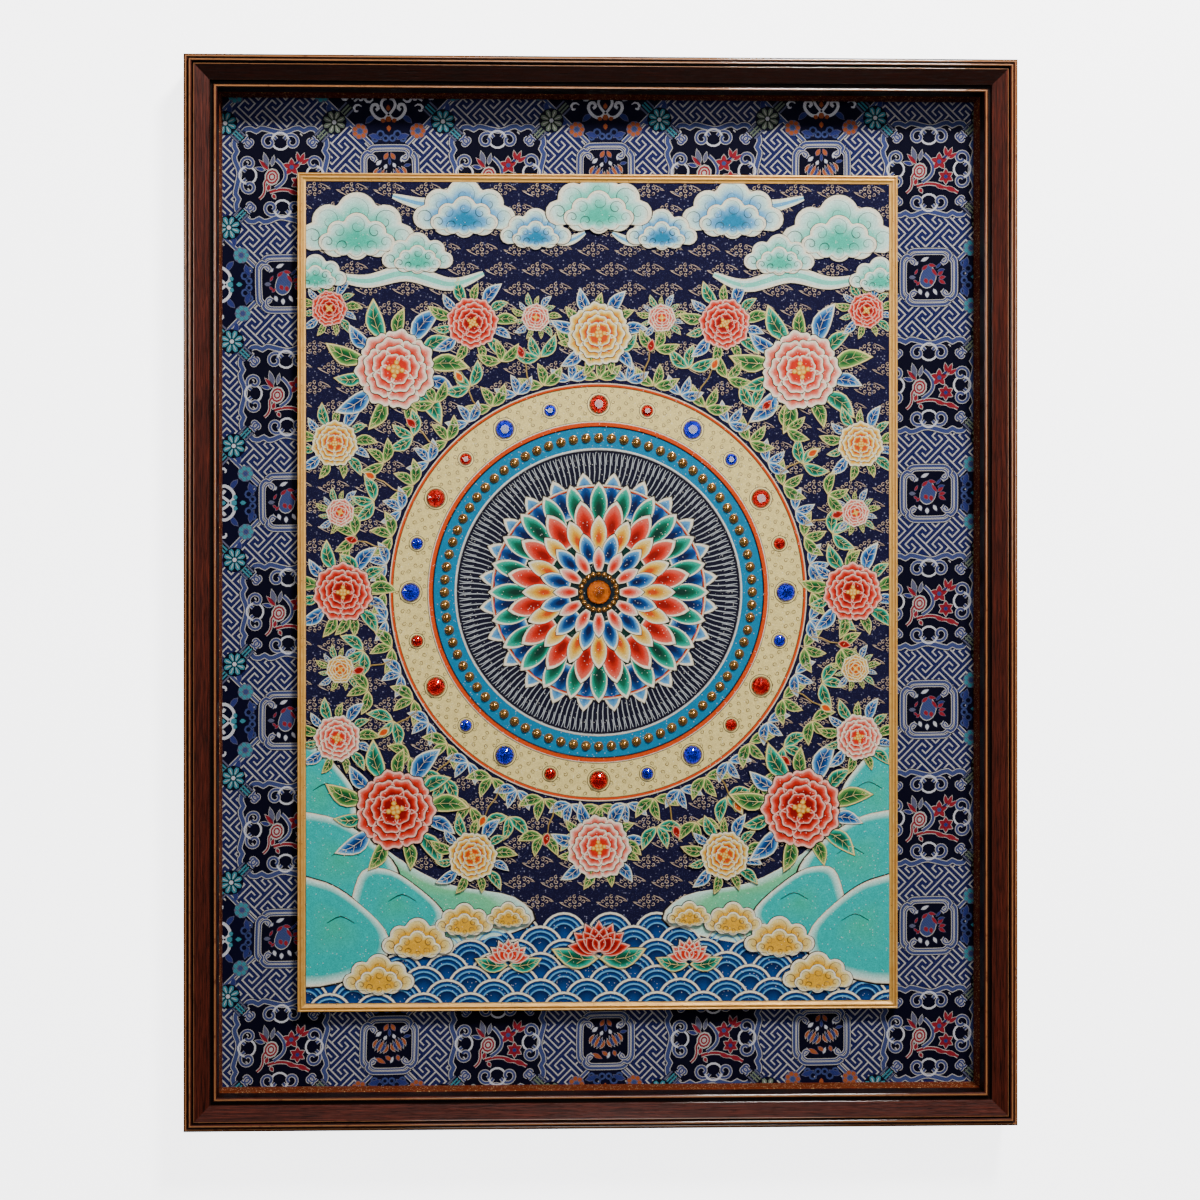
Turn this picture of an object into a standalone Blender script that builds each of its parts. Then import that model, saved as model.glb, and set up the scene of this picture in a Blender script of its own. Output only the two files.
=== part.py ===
"""A painted cloth with a silk brocade mount, framed in a deep wooden box frame.

Metres, +Z up. The picture faces -Y and the wall plane is Y = 0. The origin lies on the wall
plane, in the middle of the back of the top rail.
"""

import math

import bmesh
import bpy

MM = 0.001

# Outer size of the frame, and the rails that make it.
FRAME_WIDTH = 600 * MM
FRAME_HEIGHT = 770 * MM
FRAME_DEPTH = 42 * MM
RAIL_FACE = 23.8 * MM
REBATE_WIDTH = 6.8 * MM
REBATE_DEPTH = 22.8 * MM
BACK_LAND = RAIL_FACE - REBATE_WIDTH
ORIGIN_BELOW_TOP = BACK_LAND / 2

# Clearances: between two pieces that touch, and along a mitre.
SEAT = 0.3 * MM
MITRE_SETBACK = 0.22 * MM

# Layers, as distances from the wall plane.
BOARD_RECESS = 2.3 * MM
BOARD_THICK = 3.0 * MM
BROCADE_THICK = 1.2 * MM
BROCADE_BACK = BOARD_RECESS + BOARD_THICK + SEAT
BROCADE_FRONT = BROCADE_BACK + BROCADE_THICK
SLIP_RISE = 10.0 * MM
CARRIER_THICK = 6.6 * MM
CLOTH_THICK = 1.0 * MM
CARRIER_BACK = BROCADE_FRONT + SEAT
CLOTH_BACK = CARRIER_BACK + CARRIER_THICK + SEAT
CLOTH_FRONT = CLOTH_BACK + CLOTH_THICK

# The cloth-covered strip that lines the inside of the box.
LINER_THICK = 3.0 * MM
LINER_PROUD = 0.5 * MM

# The gilt slip and what lies inside it.
SLIP_WIDTH = 438 * MM
SLIP_HEIGHT = 609 * MM
SLIP_FACE = 6.0 * MM
SLIP_WALL = 2.2 * MM
SLIP_SIDE_OFFSET = -1.5 * MM

# The round stones: a ring of large ones with a small one in each gap, and one in the middle.
STONE_RING_RADIUS = 137 * MM
STONES_IN_RING = 12
LARGE_STONE = 6.7 * MM
SMALL_STONE = 4.2 * MM
CENTRE_STONE = 9.0 * MM
STONE_RIM = 0.8 * MM
STONE_SIDES = 16

FRAME_MIDDLE_Z = ORIGIN_BELOW_TOP - FRAME_HEIGHT / 2
ARC_STEPS = 10

COLOURS = {
    "wood": ((0.060, 0.018, 0.009), 0.38, 0.0),
    "liner_cloth": ((0.120, 0.035, 0.010), 0.75, 0.0),
    "board": ((0.300, 0.210, 0.130), 0.80, 0.0),
    "brocade": ((0.075, 0.078, 0.150), 0.60, 0.0),
    "painted_cloth": ((0.110, 0.200, 0.230), 0.70, 0.0),
    "gilt": ((0.480, 0.290, 0.090), 0.35, 0.6),
    "red_stone": ((0.300, 0.010, 0.008), 0.10, 0.0),
    "blue_stone": ((0.010, 0.020, 0.220), 0.10, 0.0),
    "amber_stone": ((0.550, 0.180, 0.010), 0.10, 0.0),
}


def clear_scene():
    for old in list(bpy.data.objects):
        bpy.data.objects.remove(old, do_unlink=True)


def make_material(name):
    colour, roughness, metallic = COLOURS[name]
    material = bpy.data.materials.new(name)
    material.use_nodes = True
    shader = material.node_tree.nodes["Principled BSDF"]
    shader.inputs["Base Color"].default_value = (*colour, 1.0)
    shader.inputs["Roughness"].default_value = roughness
    shader.inputs["Metallic"].default_value = metallic
    material.diffuse_color = (*colour, 1.0)
    return material


def arc(centre, radius, start, end, steps=ARC_STEPS):
    """Points (inward, height) along a circular arc, angles in degrees."""
    points = []
    for step in range(steps + 1):
        angle = math.radians(start + (end - start) * step / steps)
        points.append((centre[0] + radius * math.cos(angle), centre[1] + radius * math.sin(angle)))
    return points


def moulding_profile():
    """Cross-section of the frame rail: inward from its outer edge, height from the wall."""
    outer_bead = arc((1.6 * MM, 37.4 * MM), 1.6 * MM, 180, 12)
    second_bead = arc((4.9 * MM, 40.6 * MM), 1.4 * MM, 195, -15)
    panel_start = arc((7.7 * MM, 40.5 * MM), 0.5 * MM, 180, 68, 4)
    panel_end = arc((17.9 * MM, 36.4 * MM), 0.6 * MM, 68, 0, 4)
    inner_bead = arc((22.2 * MM, 34.7 * MM), 1.6 * MM, 195, 0)
    rebate_top = REBATE_DEPTH
    return (
        [(0.0, 0.0)]
        + outer_bead
        + [(3.3 * MM, 36.2 * MM)]
        + second_bead
        + [(6.4 * MM, 38.6 * MM), (7.2 * MM, 38.6 * MM)]
        + panel_start
        + panel_end
        + [(18.5 * MM, 33.2 * MM), (20.4 * MM, 33.2 * MM)]
        + inner_bead
        + [(RAIL_FACE, rebate_top), (BACK_LAND, rebate_top), (BACK_LAND, 0.0)]
    )


def liner_profile():
    """Cross-section of the lining strip, under the lip of the frame rail."""
    inner = RAIL_FACE + LINER_PROUD
    outer = inner - LINER_THICK
    low = BROCADE_FRONT + SEAT
    high = REBATE_DEPTH - SEAT
    return [(outer, low), (outer, high), (inner, high), (inner, low)]


def slip_profile():
    """Cross-section of the gilt slip: a wall, a beaded face and a lip over the cloth."""
    low = BROCADE_FRONT + SEAT
    top = BROCADE_FRONT + SLIP_RISE
    lip_under = CLOTH_FRONT + SEAT
    return (
        [(0.0, low)]
        + arc((0.7 * MM, top - 0.7 * MM), 0.7 * MM, 180, 20, 5)
        + [(1.7 * MM, top - 1.0 * MM), (2.3 * MM, top - 1.0 * MM)]
        + arc((3.1 * MM, top - 0.9 * MM), 0.7 * MM, 160, 20, 5)
        + [(4.1 * MM, top - 0.9 * MM)]
        + [(5.5 * MM, top - 1.1 * MM), (SLIP_FACE, top - 1.5 * MM)]
        + [(SLIP_FACE, lip_under), (SLIP_WALL, lip_under), (SLIP_WALL, low)]
    )


def rail_mesh(name, profile, length):
    """A mitred rail along X: its outer edge at Z = 0, inward is -Z and the viewer is at -Y."""
    shape = bmesh.new()
    ends = []
    for side in (-1, 1):
        ring = []
        for inward, height in profile:
            reach = length / 2 - inward - MITRE_SETBACK
            ring.append(shape.verts.new((side * reach, -height, -inward)))
        ends.append(ring)
    count = len(profile)
    for index in range(count):
        following = (index + 1) % count
        shape.faces.new(
            (ends[0][index], ends[0][following], ends[1][following], ends[1][index])
        )
    shape.faces.new(ends[0][::-1])
    shape.faces.new(ends[1])
    bmesh.ops.recalc_face_normals(shape, faces=shape.faces)
    mesh = bpy.data.meshes.new(name)
    shape.to_mesh(mesh)
    shape.free()
    return mesh


def place(name, mesh, material, parent, location=(0, 0, 0), turn=0.0, smooth_angle=None):
    """Adds one piece; turn is its rotation about Y in degrees."""
    mesh.materials.clear()
    mesh.materials.append(material)
    if smooth_angle is not None:
        mesh.shade_smooth()
        mesh.set_sharp_from_angle(angle=math.radians(smooth_angle))
    piece = bpy.data.objects.new(name, mesh)
    bpy.context.collection.objects.link(piece)
    piece.location = location
    piece.rotation_euler = (0, math.radians(turn), 0)
    piece.parent = parent
    return piece


def four_rails(prefix, profile, width, height, material, parent, side_offset=0.0):
    """Four mitred rails round a rectangle that is centred on the frame."""
    lying = rail_mesh(prefix + "_lying", profile, width)
    standing = rail_mesh(prefix + "_standing", profile, height)
    sides = (
        ("top", lying, 0.0, height / 2, 0),
        ("right", standing, width / 2, 0.0, 90),
        ("bottom", lying, 0.0, -height / 2, 180),
        ("left", standing, -width / 2, 0.0, 270),
    )
    for side, mesh, across, up, turn in sides:
        where = (side_offset + across, 0, FRAME_MIDDLE_Z + up)
        place(f"{prefix}_{side}", mesh, material, parent, where, turn, smooth_angle=35)


def flat_sheet(name, width, height, back, thick, material, parent, side_offset=0.0):
    """A flat rectangular sheet parallel to the wall, its back at the given distance."""
    shape = bmesh.new()
    bmesh.ops.create_cube(shape, size=1.0)
    bmesh.ops.scale(shape, vec=(width, thick, height), verts=shape.verts)
    mesh = bpy.data.meshes.new(name)
    shape.to_mesh(mesh)
    shape.free()
    where = (side_offset, -(back + thick / 2), FRAME_MIDDLE_Z)
    return place(name, mesh, material, parent, where)


def stone_mesh(name, radius):
    """A round stone with a short rim, two rows of facets and a flat table, facing -Y."""
    height = 0.42 * radius
    rings = (
        (radius, 0.0),
        (radius, STONE_RIM),
        (0.80 * radius, STONE_RIM + 0.60 * height),
        (0.48 * radius, STONE_RIM + height),
    )
    shape = bmesh.new()
    rows = []
    for index, (ring_radius, rise) in enumerate(rings):
        twist = math.pi / STONE_SIDES * max(0, index - 1)
        row = []
        for side in range(STONE_SIDES):
            angle = math.tau * side / STONE_SIDES + twist
            row.append(
                shape.verts.new(
                    (ring_radius * math.cos(angle), -rise, ring_radius * math.sin(angle))
                )
            )
        rows.append(row)
    for low, high in zip(rows, rows[1:]):
        for side in range(STONE_SIDES):
            following = (side + 1) % STONE_SIDES
            shape.faces.new((low[side], low[following], high[following], high[side]))
    shape.faces.new(rows[0])
    shape.faces.new(rows[-1])
    bmesh.ops.triangulate(shape, faces=shape.faces)
    bmesh.ops.recalc_face_normals(shape, faces=shape.faces)
    mesh = bpy.data.meshes.new(name)
    shape.to_mesh(mesh)
    shape.free()
    return mesh


def ring_of_stones(prefix, radius, first_angle, colours, parent):
    """Stones evenly round the ring, their colours taken in turn."""
    for index in range(STONES_IN_RING):
        angle = math.radians(first_angle) + math.tau * index / STONES_IN_RING
        where = (
            SLIP_SIDE_OFFSET + STONE_RING_RADIUS * math.cos(angle),
            -(CLOTH_FRONT + SEAT),
            FRAME_MIDDLE_Z + STONE_RING_RADIUS * math.sin(angle),
        )
        name = f"{prefix}_{index + 1:02d}"
        mesh = stone_mesh(name, radius)
        place(name, mesh, colours[index % len(colours)], parent, where)


def build():
    clear_scene()
    finish = {name: make_material(name) for name in COLOURS}
    root = bpy.data.objects.new("framed_picture", None)
    bpy.context.collection.objects.link(root)

    four_rails("moulding", moulding_profile(), FRAME_WIDTH, FRAME_HEIGHT, finish["wood"], root)
    four_rails("liner", liner_profile(), FRAME_WIDTH, FRAME_HEIGHT, finish["liner_cloth"], root)
    four_rails(
        "slip", slip_profile(), SLIP_WIDTH, SLIP_HEIGHT, finish["gilt"], root, SLIP_SIDE_OFFSET
    )

    board_inset = 2 * (BACK_LAND + SEAT)
    board_width = FRAME_WIDTH - board_inset
    board_height = FRAME_HEIGHT - board_inset
    flat_sheet(
        "backing_board", board_width, board_height, BOARD_RECESS, BOARD_THICK, finish["board"], root
    )
    flat_sheet(
        "brocade_mount",
        board_width,
        board_height,
        BROCADE_BACK,
        BROCADE_THICK,
        finish["brocade"],
        root,
    )

    carrier_inset = 2 * (SLIP_WALL + SEAT)
    carrier_width = SLIP_WIDTH - carrier_inset
    carrier_height = SLIP_HEIGHT - carrier_inset
    flat_sheet(
        "picture_board",
        carrier_width,
        carrier_height,
        CARRIER_BACK,
        CARRIER_THICK,
        finish["board"],
        root,
        SLIP_SIDE_OFFSET,
    )
    flat_sheet(
        "painted_cloth",
        carrier_width,
        carrier_height,
        CLOTH_BACK,
        CLOTH_THICK,
        finish["painted_cloth"],
        root,
        SLIP_SIDE_OFFSET,
    )

    red, blue = finish["red_stone"], finish["blue_stone"]
    half_step = 180 / STONES_IN_RING
    ring_of_stones("stone_large", LARGE_STONE, 90, (red, blue), root)
    ring_of_stones("stone_small", SMALL_STONE, 90 + half_step, (blue, red), root)
    centre = (SLIP_SIDE_OFFSET, -(CLOTH_FRONT + SEAT), FRAME_MIDDLE_Z)
    place(
        "stone_centre",
        stone_mesh("stone_centre", CENTRE_STONE),
        finish["amber_stone"],
        root,
        centre,
    )


build()
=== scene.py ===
# %% [markdown]
# # A painted cloth in a brocade mount and a deep wooden frame
#
# The real object is a picture on cloth, edged with a gilt slip, lying on a woven silk mount at the
# bottom of a deep box frame of dark wood. This lesson dresses a plain CAD model of it: the solids
# say where everything is, and each cell below makes one piece or one finish of it.
#
# The CAD solids are loaded first. They stay where they are: a piece either keeps its CAD solid and
# gets a better material, or replaces it.

# %% Load the frame
import math

import bmesh
import bpy
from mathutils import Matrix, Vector


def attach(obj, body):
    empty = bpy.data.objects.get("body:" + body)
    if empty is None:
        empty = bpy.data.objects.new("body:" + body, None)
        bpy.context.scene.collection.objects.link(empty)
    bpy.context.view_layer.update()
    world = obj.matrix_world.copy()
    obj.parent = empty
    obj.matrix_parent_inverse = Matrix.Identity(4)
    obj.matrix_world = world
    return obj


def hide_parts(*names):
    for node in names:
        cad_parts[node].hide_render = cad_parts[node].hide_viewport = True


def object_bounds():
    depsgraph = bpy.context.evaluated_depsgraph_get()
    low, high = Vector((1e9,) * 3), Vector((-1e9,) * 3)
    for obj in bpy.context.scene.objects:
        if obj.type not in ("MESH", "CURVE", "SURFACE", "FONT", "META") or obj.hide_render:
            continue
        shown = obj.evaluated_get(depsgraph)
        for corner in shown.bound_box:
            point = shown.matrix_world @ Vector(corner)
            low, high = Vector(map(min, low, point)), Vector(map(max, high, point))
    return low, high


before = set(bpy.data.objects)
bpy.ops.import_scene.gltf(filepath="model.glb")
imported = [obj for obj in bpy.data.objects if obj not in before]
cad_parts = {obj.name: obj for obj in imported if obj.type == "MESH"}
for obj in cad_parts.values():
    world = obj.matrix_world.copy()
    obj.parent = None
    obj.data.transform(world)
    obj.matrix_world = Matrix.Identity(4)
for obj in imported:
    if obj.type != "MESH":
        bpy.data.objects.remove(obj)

cad_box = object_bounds()
print("solids:", len(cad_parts), "box:", [tuple(round(v, 4) for v in corner) for corner in cad_box])

# %% [markdown]
# ## Sizes that every cell shares
#
# Lengths are written in millimetres, as a framer would measure them. A place on the picture is
# (across, up), and `height` is how far something stands from the wall. The viewer is at -Y, so a
# height becomes minus Y.

# %% Units and places
MM = 0.001
FRAME_WIDTH, FRAME_HEIGHT, FRAME_DEPTH = 600.0, 770.0, 42.0
TOP_OF_FRAME = cad_box[1].z / MM
MIDDLE_UP = TOP_OF_FRAME - FRAME_HEIGHT / 2
PICTURE_ACROSS = -1.5  # the slip sits a little left of the middle
BROCADE_FRONT = 6.8
CLOTH_FRONT = 15.0


def place(across, up, height):
    """A point in metres from millimetres across, up and out from the wall."""
    return Vector((across * MM, -height * MM, up * MM))


def light_value(level):
    """One channel of a colour, from its 0-255 screen level to the amount of light it stands for."""
    share = level / 255
    return share / 12.92 if share <= 0.04045 else ((share + 0.055) / 1.055) ** 2.4


def dye(red, green, blue):
    """A colour given as screen levels, as the four numbers that Blender's sockets take."""
    return (light_value(red), light_value(green), light_value(blue), 1.0)


print("middle of the frame is", MIDDLE_UP, "mm up")

# %% [markdown]
# ## Camera
#
# The photographer stood almost straight in front, a little left of the middle, and turned slightly
# to the right. The frame then shows more of its right inner wall than of its left. The lens is
# shifted, as a view camera's is, so that the frame still fills the picture.

# %% Set up the camera
IMAGE_PIXELS = 1200
IMAGE_SPAN = 0.8576  # metres that the image takes in at the front of the frame
VIEW_DISTANCE = 1.45
FOOT_PIXEL = (454.5, 564.5)  # where the point straight in front of the lens falls
FOOT_PLACE = (-0.1066, -0.3563)
YAW = math.radians(1.67)
SENSOR = 36.0

camera_data = bpy.data.cameras.new("camera")
camera_data.sensor_width = SENSOR
camera_data.lens = SENSOR * VIEW_DISTANCE / IMAGE_SPAN
focal_pixels = IMAGE_PIXELS * camera_data.lens / SENSOR
axis_pixel = FOOT_PIXEL[0] + focal_pixels * math.tan(YAW)
camera_data.shift_x = 0.5 - axis_pixel / IMAGE_PIXELS
camera_data.shift_y = FOOT_PIXEL[1] / IMAGE_PIXELS - 0.5
camera = bpy.data.objects.new("camera", camera_data)
camera.location = (FOOT_PLACE[0], -FRAME_DEPTH * MM - VIEW_DISTANCE, FOOT_PLACE[1])
camera.rotation_euler = (math.radians(90), 0, -YAW)
bpy.context.scene.collection.objects.link(camera)
bpy.context.scene.camera = camera
print("lens", round(camera_data.lens, 1), "shift", round(camera_data.shift_x, 3))

# %% [markdown]
# ## A short way to build node trees
#
# Every material and every Geometry Nodes tree below is built in script. `add_node` makes one node,
# sets its options and fills its sockets: a socket is linked, anything else becomes its value.
# `new_tree` makes a tree with named inputs and outputs, the way a reader would add them by hand.
# The other helpers are short names for the nodes that come back most: sums, mixes and map ranges.

# %% Node helpers
FLOAT, VECTOR, WHOLE = "NodeSocketFloat", "NodeSocketVector", "NodeSocketInt"
GEOMETRY, MATERIAL = "NodeSocketGeometry", "NodeSocketMaterial"


def fill_socket(tree, socket, value):
    """Links a socket to another one, or gives it a plain value."""
    if isinstance(value, bpy.types.NodeSocket):
        tree.links.new(value, socket)
    else:
        socket.default_value = value


def add_node(tree, kind, values=None, **options):
    node = tree.nodes.new(kind)
    for option, value in options.items():
        setattr(node, option, value)
    for key, value in (values or {}).items():
        fill_socket(tree, node.inputs[key], value)
    return node


def new_tree(name, kind, inputs, outputs):
    """A node tree with named sockets, given as (name, type) or (name, type, default)."""
    tree = bpy.data.node_groups.new(name, kind)
    for direction, sockets in (("INPUT", inputs), ("OUTPUT", outputs)):
        for label, socket_type, *default in sockets:
            socket = tree.interface.new_socket(label, in_out=direction, socket_type=socket_type)
            if default:
                socket.default_value = default[0]
    return tree, tree.nodes.new("NodeGroupInput").outputs, tree.nodes.new("NodeGroupOutput")


def sum_of(tree, operation, *terms):
    """A Math node; its terms are numbers or sockets."""
    return add_node(tree, "ShaderNodeMath", dict(enumerate(terms)), operation=operation).outputs[0]


def times(tree, *terms):
    return sum_of(tree, "MULTIPLY", *terms)


def plus(tree, *terms):
    return sum_of(tree, "ADD", *terms)


def minus(tree, *terms):
    return sum_of(tree, "SUBTRACT", *terms)


def point_of(tree, x=0.0, y=0.0, z=0.0):
    """A vector put together from three numbers."""
    return add_node(tree, "ShaderNodeCombineXYZ", {0: x, 1: y, 2: z}).outputs[0]


def parts_of(tree, point):
    """The three numbers of a vector."""
    return add_node(tree, "ShaderNodeSeparateXYZ", {0: point}).outputs


def mix_colours(tree, share, first, second, blend="MIX"):
    node = add_node(tree, "ShaderNodeMix", data_type="RGBA", blend_type=blend, clamp_factor=True)
    values = {"Factor": share, "A": first, "B": second}
    for socket in node.inputs:
        if socket.enabled and socket.name in values:
            fill_socket(tree, socket, values.pop(socket.name))
    return [socket for socket in node.outputs if socket.enabled][0]


def between(tree, value, low, high, new_low=0.0, new_high=1.0):
    """Map Range: value from low..high to new_low..new_high, clamped."""
    values = {0: value, 1: low, 2: high, 3: new_low, 4: new_high}
    return add_node(tree, "ShaderNodeMapRange", values, clamp=True).outputs[0]


# %% [markdown]
# ## Shared effects
#
# Some effects come back on several finishes: cloudy colour, long wood-like streaks, the over and
# under of threads, fine specks, and wear that starts at the edges. Each is a shader node group, made
# once. A group only puts out masks and heights. The shader itself stays in the material, which a
# `Finish` builds: it lays colours over one another by these masks and feeds the shader's sockets.

# %% Cloudy variation and streaks
def make_cloud_group():
    tree, given, result = new_tree(
        "cloudy variation",
        "ShaderNodeTree",
        [("Place", VECTOR), ("Size", FLOAT, 0.01), ("Contrast", FLOAT, 0.3)],
        [("Value", FLOAT)],
    )
    scale = sum_of(tree, "DIVIDE", 1.0, given["Size"])
    values = {"Vector": given["Place"], "Scale": scale, "Detail": 4.0, "Roughness": 0.6}
    noise = add_node(tree, "ShaderNodeTexNoise", values)
    half = times(tree, given["Contrast"], 0.5)
    value = between(tree, noise.outputs[0], minus(tree, 0.5, half), plus(tree, 0.5, half))
    tree.links.new(value, result.inputs["Value"])
    return tree


def make_streak_group():
    """Streaks that run along X of the given place, thin across Y."""
    tree, given, result = new_tree(
        "lengthwise streaks",
        "ShaderNodeTree",
        [("Place", VECTOR), ("Width", FLOAT, 0.001), ("Stretch", FLOAT, 40.0)],
        [("Streak", FLOAT), ("Pores", FLOAT)],
    )
    across = sum_of(tree, "DIVIDE", 1.0, given["Width"])
    along = sum_of(tree, "DIVIDE", across, given["Stretch"])
    values = {0: given["Place"], 1: point_of(tree, along, across, across)}
    spread = add_node(tree, "ShaderNodeVectorMath", values, operation="MULTIPLY").outputs[0]
    values = {"Vector": spread, "Scale": 1.0, "Detail": 6.0, "Roughness": 0.65, "Distortion": 0.3}
    streak = add_node(tree, "ShaderNodeTexNoise", values)
    pores = add_node(tree, "ShaderNodeTexNoise", {"Vector": spread, "Scale": 2.6, "Detail": 2.0})
    tree.links.new(between(tree, streak.outputs[0], 0.32, 0.68), result.inputs["Streak"])
    tree.links.new(between(tree, pores.outputs[0], 0.42, 0.36), result.inputs["Pores"])
    return tree


CLOUDS = make_cloud_group()
STREAKS = make_streak_group()
print("shared effects:", CLOUDS.name, "and", STREAKS.name)


# %% Threads over and under
def make_weave_group():
    """Threads across X and Y of the given place. Twill 0 is a plain weave and 1 a diagonal one."""
    tree, given, result = new_tree(
        "over and under",
        "ShaderNodeTree",
        [("Place", VECTOR), ("Thread", FLOAT, 0.0005), ("Twill", FLOAT, 0.0)],
        [("Height", FLOAT), ("Over", FLOAT)],
    )
    counts, rounds = [], []
    for part in parts_of(tree, given["Place"])[:2]:
        count = sum_of(tree, "DIVIDE", part, given["Thread"])
        counts.append(sum_of(tree, "FLOOR", count))
        rounds.append(sum_of(tree, "ABSOLUTE", sum_of(tree, "SINE", times(tree, count, math.pi))))
    total = plus(tree, *counts)
    plain = sum_of(tree, "FLOORED_MODULO", total, 2.0)
    twill = sum_of(tree, "LESS_THAN", sum_of(tree, "FLOORED_MODULO", total, 4.0), 2.5)
    not_twill = minus(tree, 1.0, given["Twill"])
    over = plus(tree, times(tree, twill, given["Twill"]), times(tree, plain, not_twill))
    under_height = times(tree, rounds[1], 0.65)
    lifted = times(tree, over, minus(tree, rounds[0], under_height))
    tree.links.new(plus(tree, under_height, lifted), result.inputs["Height"])
    tree.links.new(over, result.inputs["Over"])
    return tree


def make_speck_group():
    """Small bright or dark specks: one in each cell of a random honeycomb, kept by chance."""
    tree, given, result = new_tree(
        "fine specks",
        "ShaderNodeTree",
        [("Place", VECTOR), ("Size", FLOAT, 0.001), ("Share", FLOAT, 0.3)],
        [("Specks", FLOAT), ("Chance", FLOAT)],
    )
    scale = sum_of(tree, "DIVIDE", 1.0, given["Size"])
    cells = add_node(tree, "ShaderNodeTexVoronoi", {"Vector": given["Place"], "Scale": scale})
    chance = add_node(tree, "ShaderNodeSeparateColor", {0: cells.outputs["Color"]}).outputs[0]
    kept = sum_of(tree, "LESS_THAN", chance, given["Share"])
    near = between(tree, cells.outputs["Distance"], 0.45, 0.2)
    tree.links.new(times(tree, kept, near), result.inputs["Specks"])
    tree.links.new(chance, result.inputs["Chance"])
    return tree


def make_wear_group():
    """Where handling has rubbed a finish away: near the crests, in uneven patches."""
    tree, given, result = new_tree(
        "wear at the edges",
        "ShaderNodeTree",
        [("Crest", FLOAT), ("Place", VECTOR), ("Amount", FLOAT, 0.5)],
        [("Worn", FLOAT)],
    )
    values = {"Vector": given["Place"], "Scale": 160.0, "Detail": 5.0, "Roughness": 0.7}
    noise = add_node(tree, "ShaderNodeTexNoise", values)
    level = plus(tree, times(tree, given["Crest"], given["Amount"]), noise.outputs[0])
    tree.links.new(between(tree, level, 0.82, 1.02), result.inputs["Worn"])
    return tree


WEAVE, SPECKS, WEAR = make_weave_group(), make_speck_group(), make_wear_group()
print("shared effects:", WEAVE.name, SPECKS.name, WEAR.name, sep=", ")


# %% Material helpers
FRONT_TURN = (math.radians(-90), 0, 0)  # the picture's face: X across, Z up become X and Y


def object_place(tree, turn=FRONT_TURN):
    """The Object coordinates, turned so that X and Y lie on the face that a pattern follows."""
    coordinates = tree.nodes.new("ShaderNodeTexCoord").outputs["Object"]
    return add_node(tree, "ShaderNodeMapping", {"Vector": coordinates, "Rotation": turn}).outputs[0]


def attribute(tree, name, part="Fac"):
    """What the mesh says on its points: a number, or a colour."""
    return add_node(tree, "ShaderNodeAttribute", attribute_name=name).outputs[part]


class Finish:
    """A material in the making: its tree, its shader and the place that its patterns follow."""

    def __init__(self, name, plain, place_of=object_place):
        self.material = bpy.data.materials.new(name)
        self.material.use_nodes = True
        self.tree = self.material.node_tree
        self.shader = self.tree.nodes["Principled BSDF"]
        for label, value in plain.items():
            self.shader.inputs[label].default_value = value
        self.where = place_of(self.tree)

    def pattern(self, group, **values):
        """One of the shared effects, at this finish's own place."""
        values = {"Place": self.where, **values}
        return add_node(self.tree, "ShaderNodeGroup", values, node_tree=group).outputs

    def layers(self, colour, *coats):
        """Lays more colours over one. Each coat is (mask, share of the mask, colour)."""
        for mask, share, over in coats:
            colour = mix_colours(self.tree, times(self.tree, mask, share), colour, over)
        return colour

    def feed(self, label, value, low=None, high=None):
        """Joins a value to a socket of the shader. With two numbers, 0 to 1 becomes low to high."""
        if low is not None:
            value = between(self.tree, value, 0.0, 1.0, low, high)
        self.tree.links.new(value, self.shader.inputs[label])

    def bump(self, height, depth, strength):
        """Joins a height, 0 to 1, to the shader as relief that is `depth` metres deep."""
        values = {"Height": height, "Distance": depth, "Strength": strength}
        self.feed("Normal", add_node(self.tree, "ShaderNodeBump", values).outputs[0])


print("patterns can use", CLOUDS.name, STREAKS.name, WEAVE.name, SPECKS.name, WEAR.name, sep=", ")

# %% [markdown]
# ## Wall, floor and light
#
# The frame hangs on a plain pale wall. The wall is a stage: it shows behind the frame and takes its
# soft shadow, but from behind it is left clear, so that the back of the frame can be looked at.
# The key lamp, above and to the right, throws the soft shadows inside the box. Two weaker lamps fill
# them from the front and from the left, one lights the back, and a dim pale sky does the rest.

# %% Stage
WALL_COLOUR = dye(238, 238, 240)
FLOOR_UP = -1.25  # metres: well under the picture's view


def stage_plane(name, corners, material):
    mesh = bpy.data.meshes.new(name)
    mesh.from_pydata(corners, [], [(0, 1, 2, 3)])
    mesh.materials.append(material)
    plane = bpy.data.objects.new(name, mesh)
    bpy.context.scene.collection.objects.link(plane)


def show_where(finish, seen):
    """Leaves the finish clear wherever `seen` is 0."""
    clear = finish.tree.nodes.new("ShaderNodeBsdfTransparent").outputs[0]
    values = {0: seen, 1: clear, 2: finish.shader.outputs[0]}
    shown = add_node(finish.tree, "ShaderNodeMixShader", values).outputs[0]
    finish.tree.links.new(shown, finish.tree.nodes["Material Output"].inputs["Surface"])
    return finish.material


def make_wall_finish():
    """Plaster that only the camera sees, and only from its front."""
    glow = {"Emission Color": WALL_COLOUR, "Emission Strength": 4.5}
    finish = Finish("pale wall", {"Base Color": WALL_COLOUR, "Roughness": 0.9, **glow})
    finish.bump(finish.pattern(CLOUDS, Size=0.004, Contrast=0.8)["Value"], 0.0001, 0.3)
    camera_ray = finish.tree.nodes.new("ShaderNodeLightPath").outputs["Is Camera Ray"]
    behind = finish.tree.nodes.new("ShaderNodeNewGeometry").outputs["Backfacing"]
    return show_where(finish, times(finish.tree, camera_ray, minus(finish.tree, 1.0, behind)))


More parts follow.
